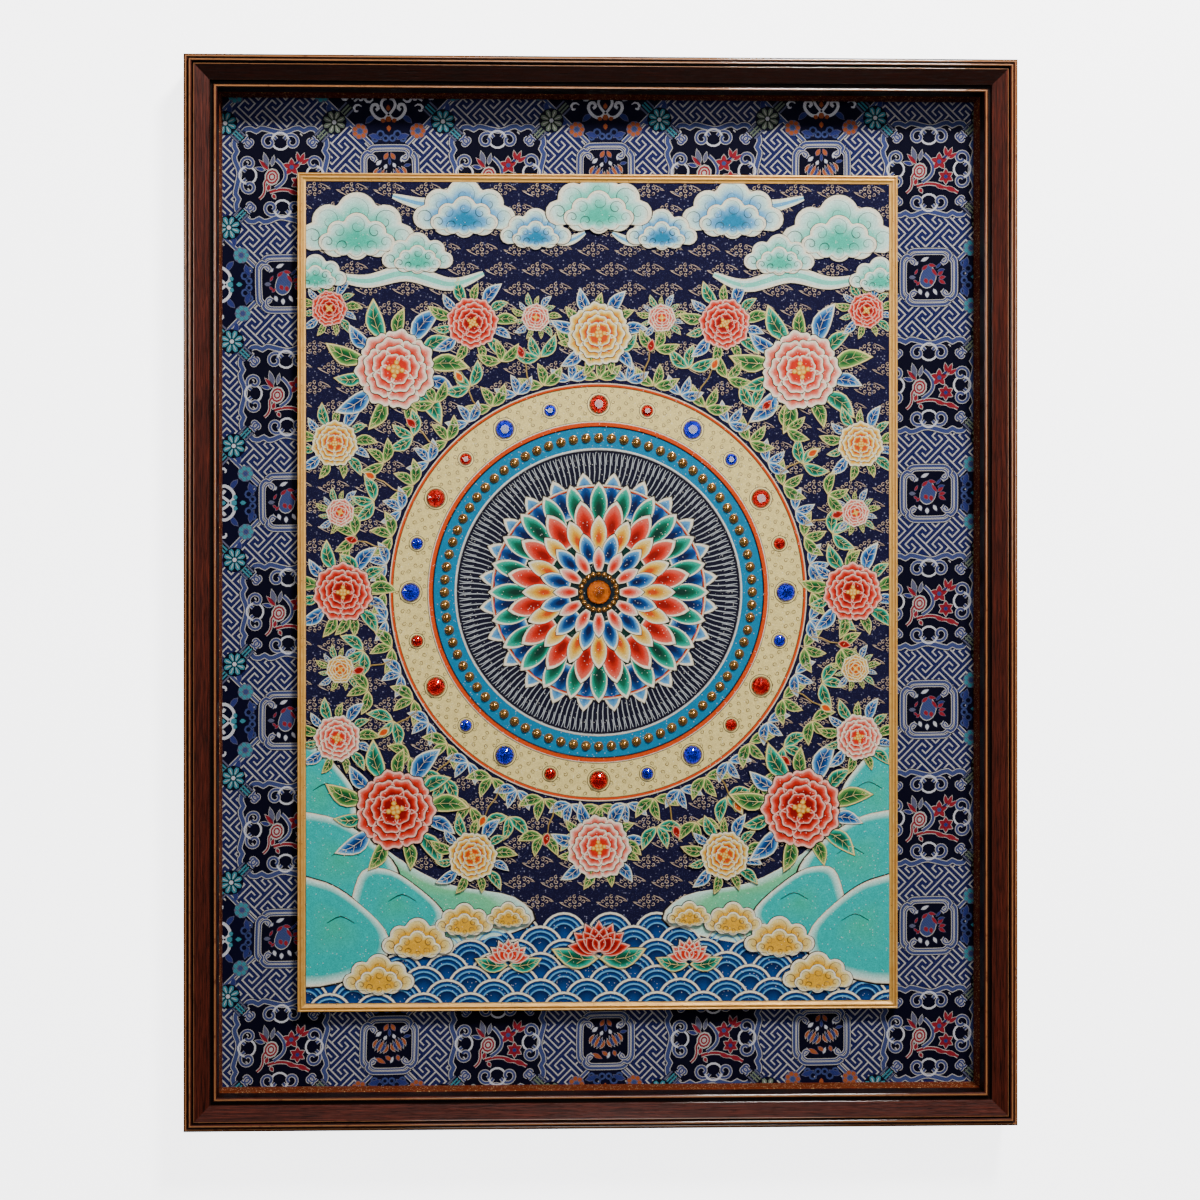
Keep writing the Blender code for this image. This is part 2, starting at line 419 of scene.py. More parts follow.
def make_floor_finish():
    """A pale floor that throws no light up into the frame's mouldings."""
    plain = {"Base Color": WALL_COLOUR, "Roughness": 0.8}
    finish = Finish("pale floor", plain, lambda tree: object_place(tree, (0, 0, 0)))
    finish.bump(finish.pattern(CLOUDS, Size=0.01, Contrast=0.9)["Value"], 0.0001, 0.3)
    return show_where(finish, finish.tree.nodes.new("ShaderNodeLightPath").outputs["Is Camera Ray"])


REACH = 6.0  # metres
WALL_AT = 0.001  # the wall is a millimetre behind the frame
CORNERS = ((-1, 0), (1, 0), (1, 1), (-1, 1))
wall_corners = [(side * REACH, WALL_AT, REACH if far else FLOOR_UP) for side, far in CORNERS]
floor_corners = [(side * REACH, REACH if far else -REACH, FLOOR_UP) for side, far in CORNERS]
stage_plane("wall", wall_corners, make_wall_finish())
stage_plane("floor", floor_corners, make_floor_finish())
print("the wall and the floor are stage, not part of the object")

# %% Lamps
AIM = Vector((0, -0.02, -0.38))  # metres: near the middle of the picture


def add_lamp(name, where, size, power, colour=(1, 1, 1)):
    data = bpy.data.lights.new(name, "AREA")
    data.shape, data.size, data.energy, data.color = "DISK", size, power, colour
    lamp = bpy.data.objects.new(name, data)
    lamp.location = where
    lamp.rotation_euler = (AIM - Vector(where)).to_track_quat("-Z", "Y").to_euler()
    bpy.context.scene.collection.objects.link(lamp)


add_lamp("key", (0.46, -1.25, 0.92), 0.36, 66, (1.0, 0.98, 0.95))
add_lamp("front fill", (0.2, -2.3, 0.0), 0.8, 13)
add_lamp("side fill", (-1.9, -1.1, 0.1), 0.4, 8)
add_lamp("back light", (0.6, 2.0, 0.8), 1.5, 40)

world = bpy.data.worlds.new("pale sky")
world.use_nodes = True
sky = world.node_tree.nodes["Background"]
sky.inputs["Color"].default_value = dye(240, 241, 245)
sky.inputs["Strength"].default_value = 0.08
bpy.context.scene.world = world

# %% [markdown]
# ## Rails that meet in a mitre
#
# A picture framer runs one moulding through a cutter, saws each end at 45 degrees and joins four
# rails. The same rule makes the rails here: Geometry Nodes take the moulding's cross-section, draw it
# out to a length, and slide every point towards the middle by how far inward it lies, which cuts both
# mitres at once. The outer moulding, the cloth liner and the gilt slip all come from this one tree.
# The cross-section carries three values for the finish: `girth`, the way round it, `crest`, how
# exposed it is to rubbing, and `inward`.

# %% Cross-section helpers
RAIL_FACE, BACK_LAND = 23.8, 17.0  # how far in the front of the section reaches, and its back
REBATE_DEPTH = 22.8  # the height of the step between them


def arc(centre, radius, start, end, steps=10):
    """Points (inward, height, crest) on a rounded bead. The crest is 1 at its top."""
    points = []
    for step in range(steps + 1):
        turn = math.radians(start + (end - start) * step / steps)
        across, out = math.cos(turn), math.sin(turn)
        points.append((centre[0] + radius * across, centre[1] + radius * out, max(0.0, out)))
    return points


def put_values(mesh, **columns):
    """Keeps a number, a colour or a vector for each point of the mesh, under a name of its own."""
    for label, (kind, field, values) in columns.items():
        mesh.attributes.new(label, kind, "POINT").data.foreach_set(field, values)


def section_mesh(name, points):
    """The cross-section as one face at X = 0, with girth, crest and inward on its points."""
    mesh = bpy.data.meshes.new(name)
    corners = [(0, -height * MM, -inward * MM) for inward, height, _ in points]
    mesh.from_pydata(corners, [], [range(len(points))])
    girth = [0.0]
    total = 0.0
    for before, after in zip(points, points[1:]):
        total += math.dist(after[:2], before[:2])
        girth.append(total * MM)
    put_values(
        mesh,
        girth=("FLOAT", "value", girth),
        crest=("FLOAT", "value", [p[2] for p in points]),
        inward=("FLOAT", "value", [p[0] * MM for p in points]),
    )
    return mesh


# %% Helpers for Geometry Nodes
def geometry_tree(name, *inputs):
    """A tree that takes a shape, its own sizes and a finish, and gives a shape."""
    inputs = [("Geometry", GEOMETRY), *inputs, ("Finish", MATERIAL)]
    return new_tree(name, "GeometryNodeTree", inputs, [("Geometry", GEOMETRY)])


def shape_node(tree, kind, values, **options):
    """A Geometry Nodes node; gives its first output."""
    return add_node(tree, "GeometryNode" + kind, values, **options).outputs[0]


def end_tree(tree, geometry, given, result):
    """Every tree ends alike: its copies are made real and get their finish."""
    real = shape_node(tree, "RealizeInstances", {"Geometry": geometry})
    finished = shape_node(tree, "SetMaterial", {"Geometry": real, "Material": given["Finish"]})
    tree.links.new(finished, result.inputs["Geometry"])
    return tree


def point_place(tree):
    return tree.nodes.new("GeometryNodeInputPosition").outputs[0]


def store(tree, geometry, label, value):
    values = {"Geometry": geometry, "Name": label, "Value": value}
    return shape_node(tree, "StoreNamedAttribute", values)


# %% The tree that draws out a rail
def make_rail_tree():
    tree, given, result = geometry_tree(
        "mitred rail",
        ("Length", FLOAT, 0.5),
        ("Turn", VECTOR),
        ("Middle", VECTOR),
        ("Number", FLOAT, 0.0),
    )
    start = point_of(tree, times(tree, given["Length"], -0.5))
    reach = point_of(tree, given["Length"])
    near_end = shape_node(tree, "Transform", {"Geometry": given["Geometry"], "Translation": start})
    far_end = shape_node(tree, "Transform", {"Geometry": near_end, "Translation": reach})
    outline = shape_node(tree, "DeleteGeometry", {"Geometry": near_end}, mode="ONLY_FACE", domain="FACE")
    values = {"Mesh": outline, "Offset": reach, "Offset Scale": 1.0}
    walls = shape_node(tree, "ExtrudeMesh", values, mode="EDGES")
    joined = add_node(tree, "GeometryNodeJoinGeometry")
    for part in (near_end, walls, far_end):
        tree.links.new(part, joined.inputs[0])
    values = {"Geometry": joined.outputs[0], "Distance": 1e-6}
    welded = shape_node(tree, "MergeByDistance", values)
    where = parts_of(tree, point_place(tree))
    inward = minus(tree, 0.0, where[2])
    kept = minus(tree, 1.0, sum_of(tree, "DIVIDE", times(tree, inward, 2.0), given["Length"]))
    moved = point_of(tree, times(tree, where[0], kept), where[1], where[2])
    mitred = shape_node(tree, "SetPosition", {"Geometry": welded, "Position": moved})
    marked = store(tree, mitred, "along", parts_of(tree, point_place(tree))[0])
    marked = store(tree, marked, "rail_number", given["Number"])
    values = {"Geometry": marked, "Translation": given["Middle"], "Rotation": given["Turn"]}
    return end_tree(tree, shape_node(tree, "Transform", values), given, result)


RAIL_TREE = make_rail_tree()
print("rail tree:", len(RAIL_TREE.nodes), "nodes")


# %% Running a tree and keeping its mesh
def run_tree(tree, mesh, values):
    """The mesh that a Geometry Nodes tree makes of another, with the modifier gone."""
    carrier = bpy.data.objects.new("carrier", mesh)
    bpy.context.scene.collection.objects.link(carrier)
    modifier = carrier.modifiers.new("nodes", "NODES")
    modifier.node_group = tree
    sockets = {item.name: item.identifier for item in tree.interface.items_tree if item.in_out == "INPUT"}
    for label, value in values.items():
        modifier[sockets[label]] = value
    carrier.update_tag()
    graph = bpy.context.evaluated_depsgraph_get()
    shown = carrier.evaluated_get(graph)
    made = bpy.data.meshes.new_from_object(shown, preserve_all_data_layers=True, depsgraph=graph)
    bpy.data.objects.remove(carrier, do_unlink=True)
    return made


EDGE_ANGLE = 35  # degrees: an edge that turns less than this is shaded smooth


def face_outwards(mesh):
    shape = bmesh.new()
    shape.from_mesh(mesh)
    bmesh.ops.recalc_face_normals(shape, faces=shape.faces)
    shape.to_mesh(mesh)
    shape.free()


def add_piece(name, mesh, material, replaced=(), smooth_angle=None):
    """Puts a finished mesh in the scene as a piece of the object."""
    mesh.name = name
    mesh.materials.clear()
    mesh.materials.append(material)
    if smooth_angle:
        mesh.shade_smooth()
        mesh.set_sharp_from_angle(angle=math.radians(smooth_angle))
    piece = bpy.data.objects.new(name, mesh)
    bpy.context.scene.collection.objects.link(piece)
    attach(piece, "root")
    if replaced:
        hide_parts(*replaced)
    print(f"{name}: {sum(len(face.vertices) - 2 for face in mesh.polygons)} triangles")
    return piece


def joined_mesh(name, meshes):
    """Several closed meshes as one, with every face outwards."""
    shape = bmesh.new()
    for mesh in meshes:
        shape.from_mesh(mesh)
    bmesh.ops.recalc_face_normals(shape, faces=shape.faces)
    made = bpy.data.meshes.new(name)
    shape.to_mesh(made)
    shape.free()
    return made


SIDES = (
    # side, turn about Y in degrees, across, up (as shares of the half width and half height)
    ("top", 0, 0, 1),
    ("right", 90, 1, 0),
    ("bottom", 180, 0, -1),
    ("left", 270, -1, 0),
)


def four_rails(prefix, section, width, height, material, across=0.0):
    """Four mitred rails round a rectangle, as one piece that replaces the four CAD rails."""
    rails = []
    for number, (side, turn, right, up) in enumerate(SIDES):
        middle = place(across + right * width / 2, MIDDLE_UP + up * height / 2, 0)
        values = {
            "Length": (width if up else height) * MM,
            "Turn": (0, math.radians(turn), 0),
            "Middle": tuple(middle),
            "Number": float(number),
            "Finish": material,
        }
        rails.append(run_tree(RAIL_TREE, section, values))
    nodes = [f"{prefix}_{side[0]}" for side in SIDES]
    add_piece(prefix, joined_mesh(prefix, rails), material, nodes, EDGE_ANGLE)


# %% [markdown]
# ## The wooden moulding
#
# The frame is a stained and waxed hardwood moulding: two round beads and a groove at its outer edge,
# a wide panel that slopes inwards, and a last bead over the opening. Beads catch the lamp as thin
# bright lines, and their tops are painted lighter, partly rubbed wear and partly painted highlight.
# The grooves between them are painted almost black as painted shade, and the top rail is painted
# darker as painted shade. The grain runs along each rail, so the finish reads `along` and `girth`
# instead of a place in the room, and turns at the mitres.

# %% Moulding section
def moulding_section():
    outer_bead = arc((1.6, 37.4), 1.6, 180, 12, 14)
    second_bead = arc((4.9, 40.6), 1.4, 195, -15, 16)
    panel_start = arc((7.7, 40.5), 0.5, 180, 68, 6)
    panel_end = arc((17.9, 36.4), 0.6, 68, 0, 6)
    inner_bead = arc((22.2, 34.7), 1.6, 195, 0, 14)
    start, end = panel_start[-1], panel_end[0]
    panel = [
        (start[0] + (end[0] - start[0]) * share, start[1] + (end[1] - start[1]) * share, 0.0)
        for share in (0.06, 0.25, 0.5, 0.75, 0.94)
    ]
    back = [(BACK_LAND, REBATE_DEPTH, 0.0), (BACK_LAND, 0.0, 0.2), (0.3, 0.0, 0.3)]
    return (
        [(0.0, 0.3, 0.4), (0.0, 12.0, 0.1), (0.0, 24.0, 0.1)]
        + outer_bead
        + [(3.3, 36.2, 0.0)]
        + second_bead
        + [(6.4, 38.6, 0.0), (7.2, 38.6, 0.0)]
        + panel_start
        + panel
        + panel_end
        + [(18.5, 33.2, 0.0), (20.4, 33.2, 0.0)]
        + inner_bead
        + [(RAIL_FACE, REBATE_DEPTH, 0.2)]
        + back
    )


# %% Dark stained wood
def rail_place(tree):
    """Along the rail, round its section, and a different start for each rail."""
    number = times(tree, attribute(tree, "rail_number"), 0.37)
    return point_of(tree, attribute(tree, "along"), attribute(tree, "girth"), number)


def make_wood_finish():
    plain = {"IOR": 1.45, "Specular IOR Level": 0.1, "Coat Roughness": 0.07, "Coat IOR": 1.5}
    finish = Finish("waxed dark wood", plain, rail_place)
    tree = finish.tree
    crest, inward = attribute(tree, "crest"), attribute(tree, "inward")
    grain = finish.pattern(STREAKS, Width=0.0011, Stretch=26.0)
    fine = finish.pattern(STREAKS, Width=0.00035, Stretch=60.0)["Streak"]
    clouds = finish.pattern(CLOUDS, Size=0.045, Contrast=0.8)["Value"]
    worn = finish.pattern(WEAR, Crest=crest, Amount=0.5)["Worn"]
    pores = times(tree, grain["Pores"], 0.7)
    top_rail_painted_shade = sum_of(tree, "LESS_THAN", attribute(tree, "rail_number"), 0.5)
    # The top rail is painted darkest, as painted shade. The flat panel is plain wood. Grooves and the other
    # hollows are painted almost black as painted shade, the outer side less, and bead tops are painted
    # lighter, partly rubbed wear and partly painted highlight.
    on_panel = times(tree, between(tree, inward, 0.0070, 0.0076), between(tree, inward, 0.0186, 0.0180))
    bare = sum_of(tree, "MAXIMUM", on_panel, between(tree, crest, 0.1, 0.75))
    # Painted shade: away from the panel and the bead tops, the grooves and hollows are painted near black,
    # the outer side half as much.
    waxed_and_groove_shade = between(tree, inward, 0.0001, 0.0004, 0.5, 0.93)
    # Bead tops are painted lighter: partly rubbed wear, partly painted highlight.
    rubbed_and_painted_highlight = between(tree, worn, 0.0, 0.5, 0.35, 0.9)
    wood = finish.layers(
        mix_colours(tree, grain["Streak"], dye(22, 6, 4), dye(94, 36, 24)),
        (between(tree, fine, 0.35, 0.75), 0.6, dye(28, 8, 4)),
        (clouds, 0.35, dye(26, 8, 5)),
        (pores, 1.0, dye(9, 2, 1)),
        (top_rail_painted_shade, 0.85, dye(10, 3, 1)),
        (minus(tree, 1.0, bare), waxed_and_groove_shade, dye(7, 3, 2)),
        (between(tree, crest, 0.9, 1.0), rubbed_and_painted_highlight, dye(158, 104, 62)),
    )
    finish.feed("Base Color", wood)
    finish.feed("Coat Weight", between(tree, crest, 0.45, 0.85), 0.06, 1.0)
    rough = between(tree, grain["Streak"], 0.0, 1.0, 0.5, 0.38)
    finish.feed("Roughness", plus(tree, rough, times(tree, worn, -0.1)))
    relief = minus(tree, grain["Streak"], times(tree, pores, 1.2))
    finish.bump(plus(tree, relief, times(tree, fine, 0.4)), 0.00016, 0.55)
    return finish.material


section = section_mesh("moulding section", moulding_section())
four_rails("moulding", section, FRAME_WIDTH, FRAME_HEIGHT, make_wood_finish())

# %% [markdown]
# ## The cloth liner
#
# The inside of the box is lined with strips covered in a rust-coloured brocade with a small woven
# figure and a little metal thread. Each strip is a thin board with cloth turned over its edges, so its
# section is a soft-cornered rectangle.

# %% Liner section and finish
BROCADE_GAP, SEAT = 0.3, 0.3


def liner_section():
    inner, outer = RAIL_FACE + 0.5, RAIL_FACE - 2.5
    low, high, soft = BROCADE_FRONT + BROCADE_GAP, REBATE_DEPTH - SEAT, 0.5
    corner = arc((inner - soft, high - soft), soft, 90, 0, 5)
    foot = arc((inner - soft, low + soft), soft, 0, -90, 5)
    return [(outer, low, 0.0), (outer, high, 0.0)] + corner + foot


def make_liner_finish():
    finish = Finish("rust brocade", {"Specular IOR Level": 0.1}, rail_place)
    tree = finish.tree
    weave = finish.pattern(WEAVE, Thread=0.00042, Twill=1.0)["Height"]
    clouds = finish.pattern(CLOUDS, Size=0.02, Contrast=0.7)["Value"]
    values = {"Vector": finish.where, "Scale": 170.0, "Randomness": 0.75}
    figure = add_node(tree, "ShaderNodeTexVoronoi", values).outputs["Distance"]
    specks = finish.pattern(SPECKS, Size=0.0012, Share=0.3)["Specks"]
    gold = times(tree, specks, 0.8)
    cloth = finish.layers(
        mix_colours(tree, weave, dye(40, 13, 4), dye(116, 46, 14)),
        (clouds, 0.45, dye(76, 34, 18)),
        (between(tree, figure, 0.34, 0.26), 0.4, dye(120, 44, 26)),
        (gold, 1.0, dye(222, 176, 120)),
    )
    finish.feed("Base Color", cloth)
    finish.feed("Metallic", times(tree, gold, 0.6))
    finish.feed("Roughness", specks, 0.75, 0.35)
    finish.bump(weave, 0.00018, 0.7)
    return finish.material


section = section_mesh("liner section", liner_section())
four_rails("liner", section, FRAME_WIDTH, FRAME_HEIGHT, make_liner_finish())

# %% [markdown]
# ## The gilt slip
#
# A slip is the thin gilded moulding that sits directly on the picture. This one has two small beads
# and a flat, with old gold leaf over a brown-red ground. Away from the crests it is painted darker
# brown, partly that ground and partly painted shade in the hollows and on its sides; the leaf is
# lighter where the crests have been rubbed, and has small nicks along its edge.

# %% Slip section and finish
SLIP_WIDTH, SLIP_HEIGHT, SLIP_RISE = 438.0, 609.0, 10.0


def slip_section():
    low, top, lip_under = BROCADE_FRONT + BROCADE_GAP, BROCADE_FRONT + SLIP_RISE, CLOTH_FRONT + SEAT
    return (
        [(0.0, low, 0.1), (0.0, low + 4.5, 0.1)]
        + arc((0.7, top - 0.7), 0.7, 180, 20, 9)
        + [(1.7, top - 1.0, 0.0), (2.3, top - 1.0, 0.0)]
        + arc((3.1, top - 0.9), 0.7, 160, 20, 9)
        + [(4.1, top - 0.9, 0.2), (5.5, top - 1.1, 0.7), (5.85, top - 1.2, 0.9), (6.0, top - 1.4, 0.9)]
        + [(6.0, lip_under, 0.2), (2.2, lip_under, 0.0), (2.2, low, 0.0)]
    )


def make_gilt_finish():
    plain = {"IOR": 1.45, "Coat Weight": 0.15, "Coat Roughness": 0.25}
    finish = Finish("old gold leaf", plain, rail_place)
    tree = finish.tree
    crest = attribute(tree, "crest")
    leaf = finish.pattern(CLOUDS, Size=0.006, Contrast=0.7)["Value"]
    wide = finish.pattern(CLOUDS, Size=0.06, Contrast=0.6)["Value"]
    streaks = finish.pattern(STREAKS, Width=0.0005, Stretch=40.0)["Streak"]
    worn = finish.pattern(WEAR, Crest=crest, Amount=0.36)["Worn"]
    nicks = times(tree, finish.pattern(SPECKS, Size=0.0012, Share=0.1)["Specks"], 0.8)
    gold = finish.layers(
        mix_colours(tree, leaf, dye(208, 142, 50), dye(244, 190, 88)),
        (streaks, 0.45, dye(168, 118, 60)),
        (wide, 0.3, dye(214, 164, 92)),
        # Darker brown away from the crests: partly the brown-red ground, partly painted shade in the hollows
        # and on the sides.
        (minus(tree, 1.0, between(tree, crest, 0.0, 0.55)), 0.55, dye(120, 78, 38)),
        (worn, 0.35, dye(238, 206, 140)),
        (nicks, 1.0, dye(92, 48, 24)),
    )
    finish.feed("Base Color", gold)
    finish.feed("Metallic", between(tree, nicks, 0.0, 0.8, 0.4, 0.1))
    finish.feed("Roughness", leaf, 0.46, 0.3)
    finish.bump(minus(tree, times(tree, streaks, 0.5), nicks), 0.00012, 0.6)
    return finish.material


section = section_mesh("slip section", slip_section())
four_rails("slip", section, SLIP_WIDTH, SLIP_HEIGHT, make_gilt_finish(), PICTURE_ACROSS)

# %% [markdown]
# ## The boards
#
# Behind everything is a brown board, the only part of the inside that shows from the back, and a
# carrier board that lifts the picture off the mount. Both keep their CAD solids and only need a
# finish: pressed fibres, darker flecks and slow changes of colour.

# %% Pressed board
def make_board_finish():
    finish = Finish("pressed brown board", {"Specular IOR Level": 0.25})
    fibres = finish.pattern(STREAKS, Width=0.0005, Stretch=7.0)["Streak"]
    board = finish.layers(
        mix_colours(finish.tree, fibres, dye(128, 98, 68), dye(170, 136, 98)),
        (finish.pattern(CLOUDS, Size=0.09, Contrast=0.7)["Value"], 0.35, dye(112, 84, 58)),
        (finish.pattern(SPECKS, Size=0.0016, Share=0.16)["Specks"], 0.6, dye(86, 60, 40)),
    )
    finish.feed("Base Color", board)
    finish.feed("Roughness", fibres, 0.9, 0.7)
    finish.bump(fibres, 0.00012, 0.6)
    return finish.material


BOARD = make_board_finish()
for node in ("backing_board", "picture_board"):
    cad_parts[node].data.materials.clear()
    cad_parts[node].data.materials.append(BOARD)
    print(node, "has", BOARD.name)

# %% [markdown]
# ## Drawing in thin shapes
#
# The silk mount and the picture are both made of many small flat shapes that lie on a cloth: floats
# of thread on one, filled petals and clouds on the other. A `Tray` collects them. `plate` makes a
# flat-topped shape, `ribbon` a band along a path, and `mound` a shape whose rings step from its edge
# to its heart, each with its own rise and colour, which is how a shaded petal is laid. Every shape is
# closed, with its foot in the cloth. The colour is kept on the points, as the attribute `tint`.

# %% The tray
CLIMB = 0.004  # millimetres from one point of an open ribbon to the next


class Tray:
    """Closed thin shapes on a cloth whose front is `ground` millimetres from the wall."""

    def __init__(self, ground, scale=1.0, middle=(0.0, 0.0)):
        self.ground, self.scale, self.middle = ground, scale, middle
        self.points, self.faces, self.tints, self.parts = [], [], [], []

    def _row(self, outline, rise, tint, climb=0.0):
        first = len(self.points)
        for number, (across, up) in enumerate(outline):
            where = (self.middle[0] + across * self.scale, self.middle[1] + up * self.scale)
            self.points.append(place(*where, self.ground + rise + climb * number))
            self.tints.append(tint)
        return list(range(first, first + len(outline)))

    def _walls(self, low, high):
        count = len(low)
        self.faces += [(low[i], low[(i + 1) % count], high[(i + 1) % count], high[i]) for i in range(count)]

    def _close_part(self, first):
        self.parts.append((first, len(self.points)))

    def plate(self, outline, rise, tint, foot=-0.05):
        first = len(self.points)
        low, high = self._row(outline, foot, tint), self._row(outline, rise, tint)
        self._walls(low, high)
        self.faces += [tuple(reversed(low)), tuple(high)]
        self._close_part(first)

    def mound(self, outline, heart, steps, foot=-0.05):
        """Rings from the outline to the heart; steps are (share of the way out, rise, tint)."""
        first = len(self.points)
        low = self._row(outline, foot, steps[0][2])
        bottom = low
        for share, rise, tint in steps:
            if share <= 0:
                tip = self._row([heart], rise, tint)[0]
                count = len(low)
                self.faces += [(low[i], low[(i + 1) % count], tip) for i in range(count)]
                break
            ring = [tuple(h + (v - h) * share for v, h in zip(point, heart)) for point in outline]
            high = self._row(ring, rise, tint)
            self._walls(low, high)
            low = high
        self.faces.append(tuple(reversed(bottom)))
        self._close_part(first)

    def ribbon(self, path, width, rise, tint, closed=False, taper=False, foot=-0.05):
        """A band of even width, or one that thins to both ends.

        An open one climbs a little from point to point, so that a curl that crosses itself never
        has two faces in one plane.
        """
        first = len(self.points)
        left, right, count = [], [], len(path)
        for index, (x, y) in enumerate(path):
            before = path[(index - 1) % count] if closed or index else path[index]
            after = path[(index + 1) % count] if closed or index < count - 1 else path[index]
            back, ahead = Vector((x - before[0], y - before[1])), Vector((after[0] - x, after[1] - y))
            back = back.normalized() if back.length else ahead.normalized()
            ahead = ahead.normalized() if ahead.length else back
            run = (back + ahead).normalized() if (back + ahead).length > 0.01 else ahead
            spread = width / 2 / max(0.5, run.dot(ahead))
            if taper:
                spread *= 0.25 + 0.75 * math.sin(math.pi * (index + 0.5) / count)
            left.append((x - run.y * spread, y + run.x * spread))
            right.append((x + run.y * spread, y - run.x * spread))
        climb = 0.0 if closed else CLIMB
        rows = [self._row(line, height, tint, climb) for line in (left, right) for height in (foot, rise)]
        left_low, left_high, right_low, right_high = rows
        steps = [(i, (i + 1) % count) for i in range(count if closed else count - 1)]
        for i, j in steps:
            self.faces += [
                (left_high[i], left_high[j], right_high[j], right_high[i]),
                (left_low[i], left_low[j], left_high[j], left_high[i]),
                (right_high[i], right_high[j], right_low[j], right_low[i]),
                (right_low[i], right_low[j], left_low[j], left_low[i]),
            ]
        if not closed:
            for i in (0, count - 1):
                self.faces.append((left_low[i], left_high[i], right_high[i], right_low[i]))
        self._close_part(first)

    def mesh(self, name):
        mesh = bpy.data.meshes.new(name)
        mesh.from_pydata(self.points, [], self.faces)
        put_values(mesh, tint=("FLOAT_COLOR", "color", [v for tint in self.tints for v in tint]))
        face_outwards(mesh)
        return mesh


# %% Drawing helpers
def smooth_path(points, steps=4, closed=False):
    """A flowing line through the points, so that a curl needs only a few of them."""
    made, count = [], len(points)
    for index in range(count if closed else count - 1):
        near = [index + k for k in (-1, 0, 1, 2)]
        corners = [points[k % count] if closed else points[min(max(k, 0), count - 1)] for k in near]
        for step in range(steps):
            t = step / steps
            weights = (
                -0.5 * t**3 + t**2 - 0.5 * t,
                1.5 * t**3 - 2.5 * t**2 + 1,
                -1.5 * t**3 + 2 * t**2 + 0.5 * t,
                0.5 * t**3 - 0.5 * t**2,
            )
            made.append(tuple(sum(w * c[axis] for w, c in zip(weights, corners)) for axis in (0, 1)))
    return made if closed else made + [tuple(points[-1])]


def round_path(across, up, radius, start=0.0, end=360.0, steps=12, squash=1.0):
    """An arc, or a whole ring without its last point."""
    whole = abs(end - start) >= 360
    return [
        (
            across + radius * math.cos(math.radians(start + (end - start) * k / steps)),
            up + radius * squash * math.sin(math.radians(start + (end - start) * k / steps)),
        )
        for k in range(steps if whole else steps + 1)
    ]


def curl_path(across, up, radius, start, turn, steps=12, inner=0.25):
    """A curl that winds from its full radius inwards over `turn` degrees."""
    path = []
    for k in range(steps + 1):
        share = k / steps
        angle = math.radians(start + turn * share)
        reach = radius * (1 - (1 - inner) * share)
        path.append((across + reach * math.cos(angle), up + reach * math.sin(angle)))
    return path


def moved(path, across=0.0, up=0.0, turn=0.0, flip=False, scale=1.0):
    """The path flipped left to right, scaled, turned and then carried to a place."""
    c, s = math.cos(math.radians(turn)), math.sin(math.radians(turn))
    made = []
    for x, y in path:
        x, y = (-x if flip else x) * scale, y * scale
        made.append((across + x * c - y * s, up + x * s + y * c))
    return made


def mirrored(path, side):
    """The path as drawn (side 1), or on the other side of the middle (side -1)."""
    return [(side * x, y) for x, y in path]


def leaf_path(length, width, bend=0.0, steps=7):
    """A pointed leaf from (0, 0) to (length, 0), bent to one side."""
    upper, lower = [], []
    for k in range(steps + 1):
        t = k / steps
        half = width / 2 * math.sin(math.pi * t**0.85) ** 0.9
        middle = bend * math.sin(math.pi * t)
        upper.append((length * t, middle + half))
        lower.append((length * t, middle - half))
    return upper + lower[-2:0:-1]


# %% [markdown]
# ## The silk mount: ground cloth
#
# The mount is a Chinese-style jacquard silk. Its ground is a blue twill that shows between pale
# floats. The cloth is a flat sheet stretched over the board, so it is a thin closed slab, and the
# twill is a finish: fine diagonal ribs, darker flecks, and slow changes where the cloth has faded.

# %% Flat sheets
def slab_mesh(name, across, up, width, height, back, front, soft=0.15):
    """A flat closed sheet with softened edges, `back` to `front` millimetres from the wall."""
    shape = bmesh.new()
    bmesh.ops.create_cube(shape, size=1.0)
    bmesh.ops.scale(shape, vec=(width * MM, (front - back) * MM, height * MM), verts=shape.verts)
    bmesh.ops.bevel(shape, geom=shape.edges[:], offset=soft * MM, segments=2, affect="EDGES")
    bmesh.ops.translate(shape, vec=place(across, up, (front + back) / 2), verts=shape.verts)
    bmesh.ops.recalc_face_normals(shape, faces=shape.faces)
    mesh = bpy.data.meshes.new(name)
    shape.to_mesh(mesh)
    shape.free()
    return mesh


BOARD_WIDTH = FRAME_WIDTH - 2 * (BACK_LAND + SEAT)
BOARD_HEIGHT = FRAME_HEIGHT - 2 * (BACK_LAND + SEAT)
MOUNT_BACK = 5.6
TWILL_THREAD = 0.0005  # metres


def make_mount_finish():
    finish = Finish("blue silk twill", {"Specular IOR Level": 0.04})
    weave = finish.pattern(WEAVE, Thread=TWILL_THREAD, Twill=1.0)
    silk = finish.layers(
        mix_colours(finish.tree, weave["Height"], dye(4, 4, 24), dye(28, 33, 82)),
        (finish.pattern(SPECKS, Size=0.0019, Share=0.45)["Specks"], 0.7, dye(6, 6, 34)),
        (finish.pattern(CLOUDS, Size=0.12, Contrast=0.7)["Value"], 0.25, dye(38, 42, 90)),
    )
    finish.feed("Base Color", silk)
    finish.feed("Roughness", weave["Over"], 0.62, 0.45)
    finish.bump(weave["Height"], 0.00018, 0.7)
    return finish.material


slab = slab_mesh("silk_mount", 0, MIDDLE_UP, BOARD_WIDTH, BOARD_HEIGHT, MOUNT_BACK, BROCADE_FRONT)
mount = add_piece("silk_mount", slab, make_mount_finish(), ["brocade_mount"], EDGE_ANGLE)

# %% [markdown]
# ## The silk mount: one repeat
#
# A jacquard pattern is drawn once on a chart and woven again and again. The chart here is in steps
# of about three quarters of a millimetre, with the big medallion at its middle: a key fret fills the
# spaces, small square cartouches hold fruit and blossom, and navy diamonds between them hold pale
# scrolls. Pale outlines lie one layer below the blue that they edge, so that each band shows a thin
# pale line on both sides.

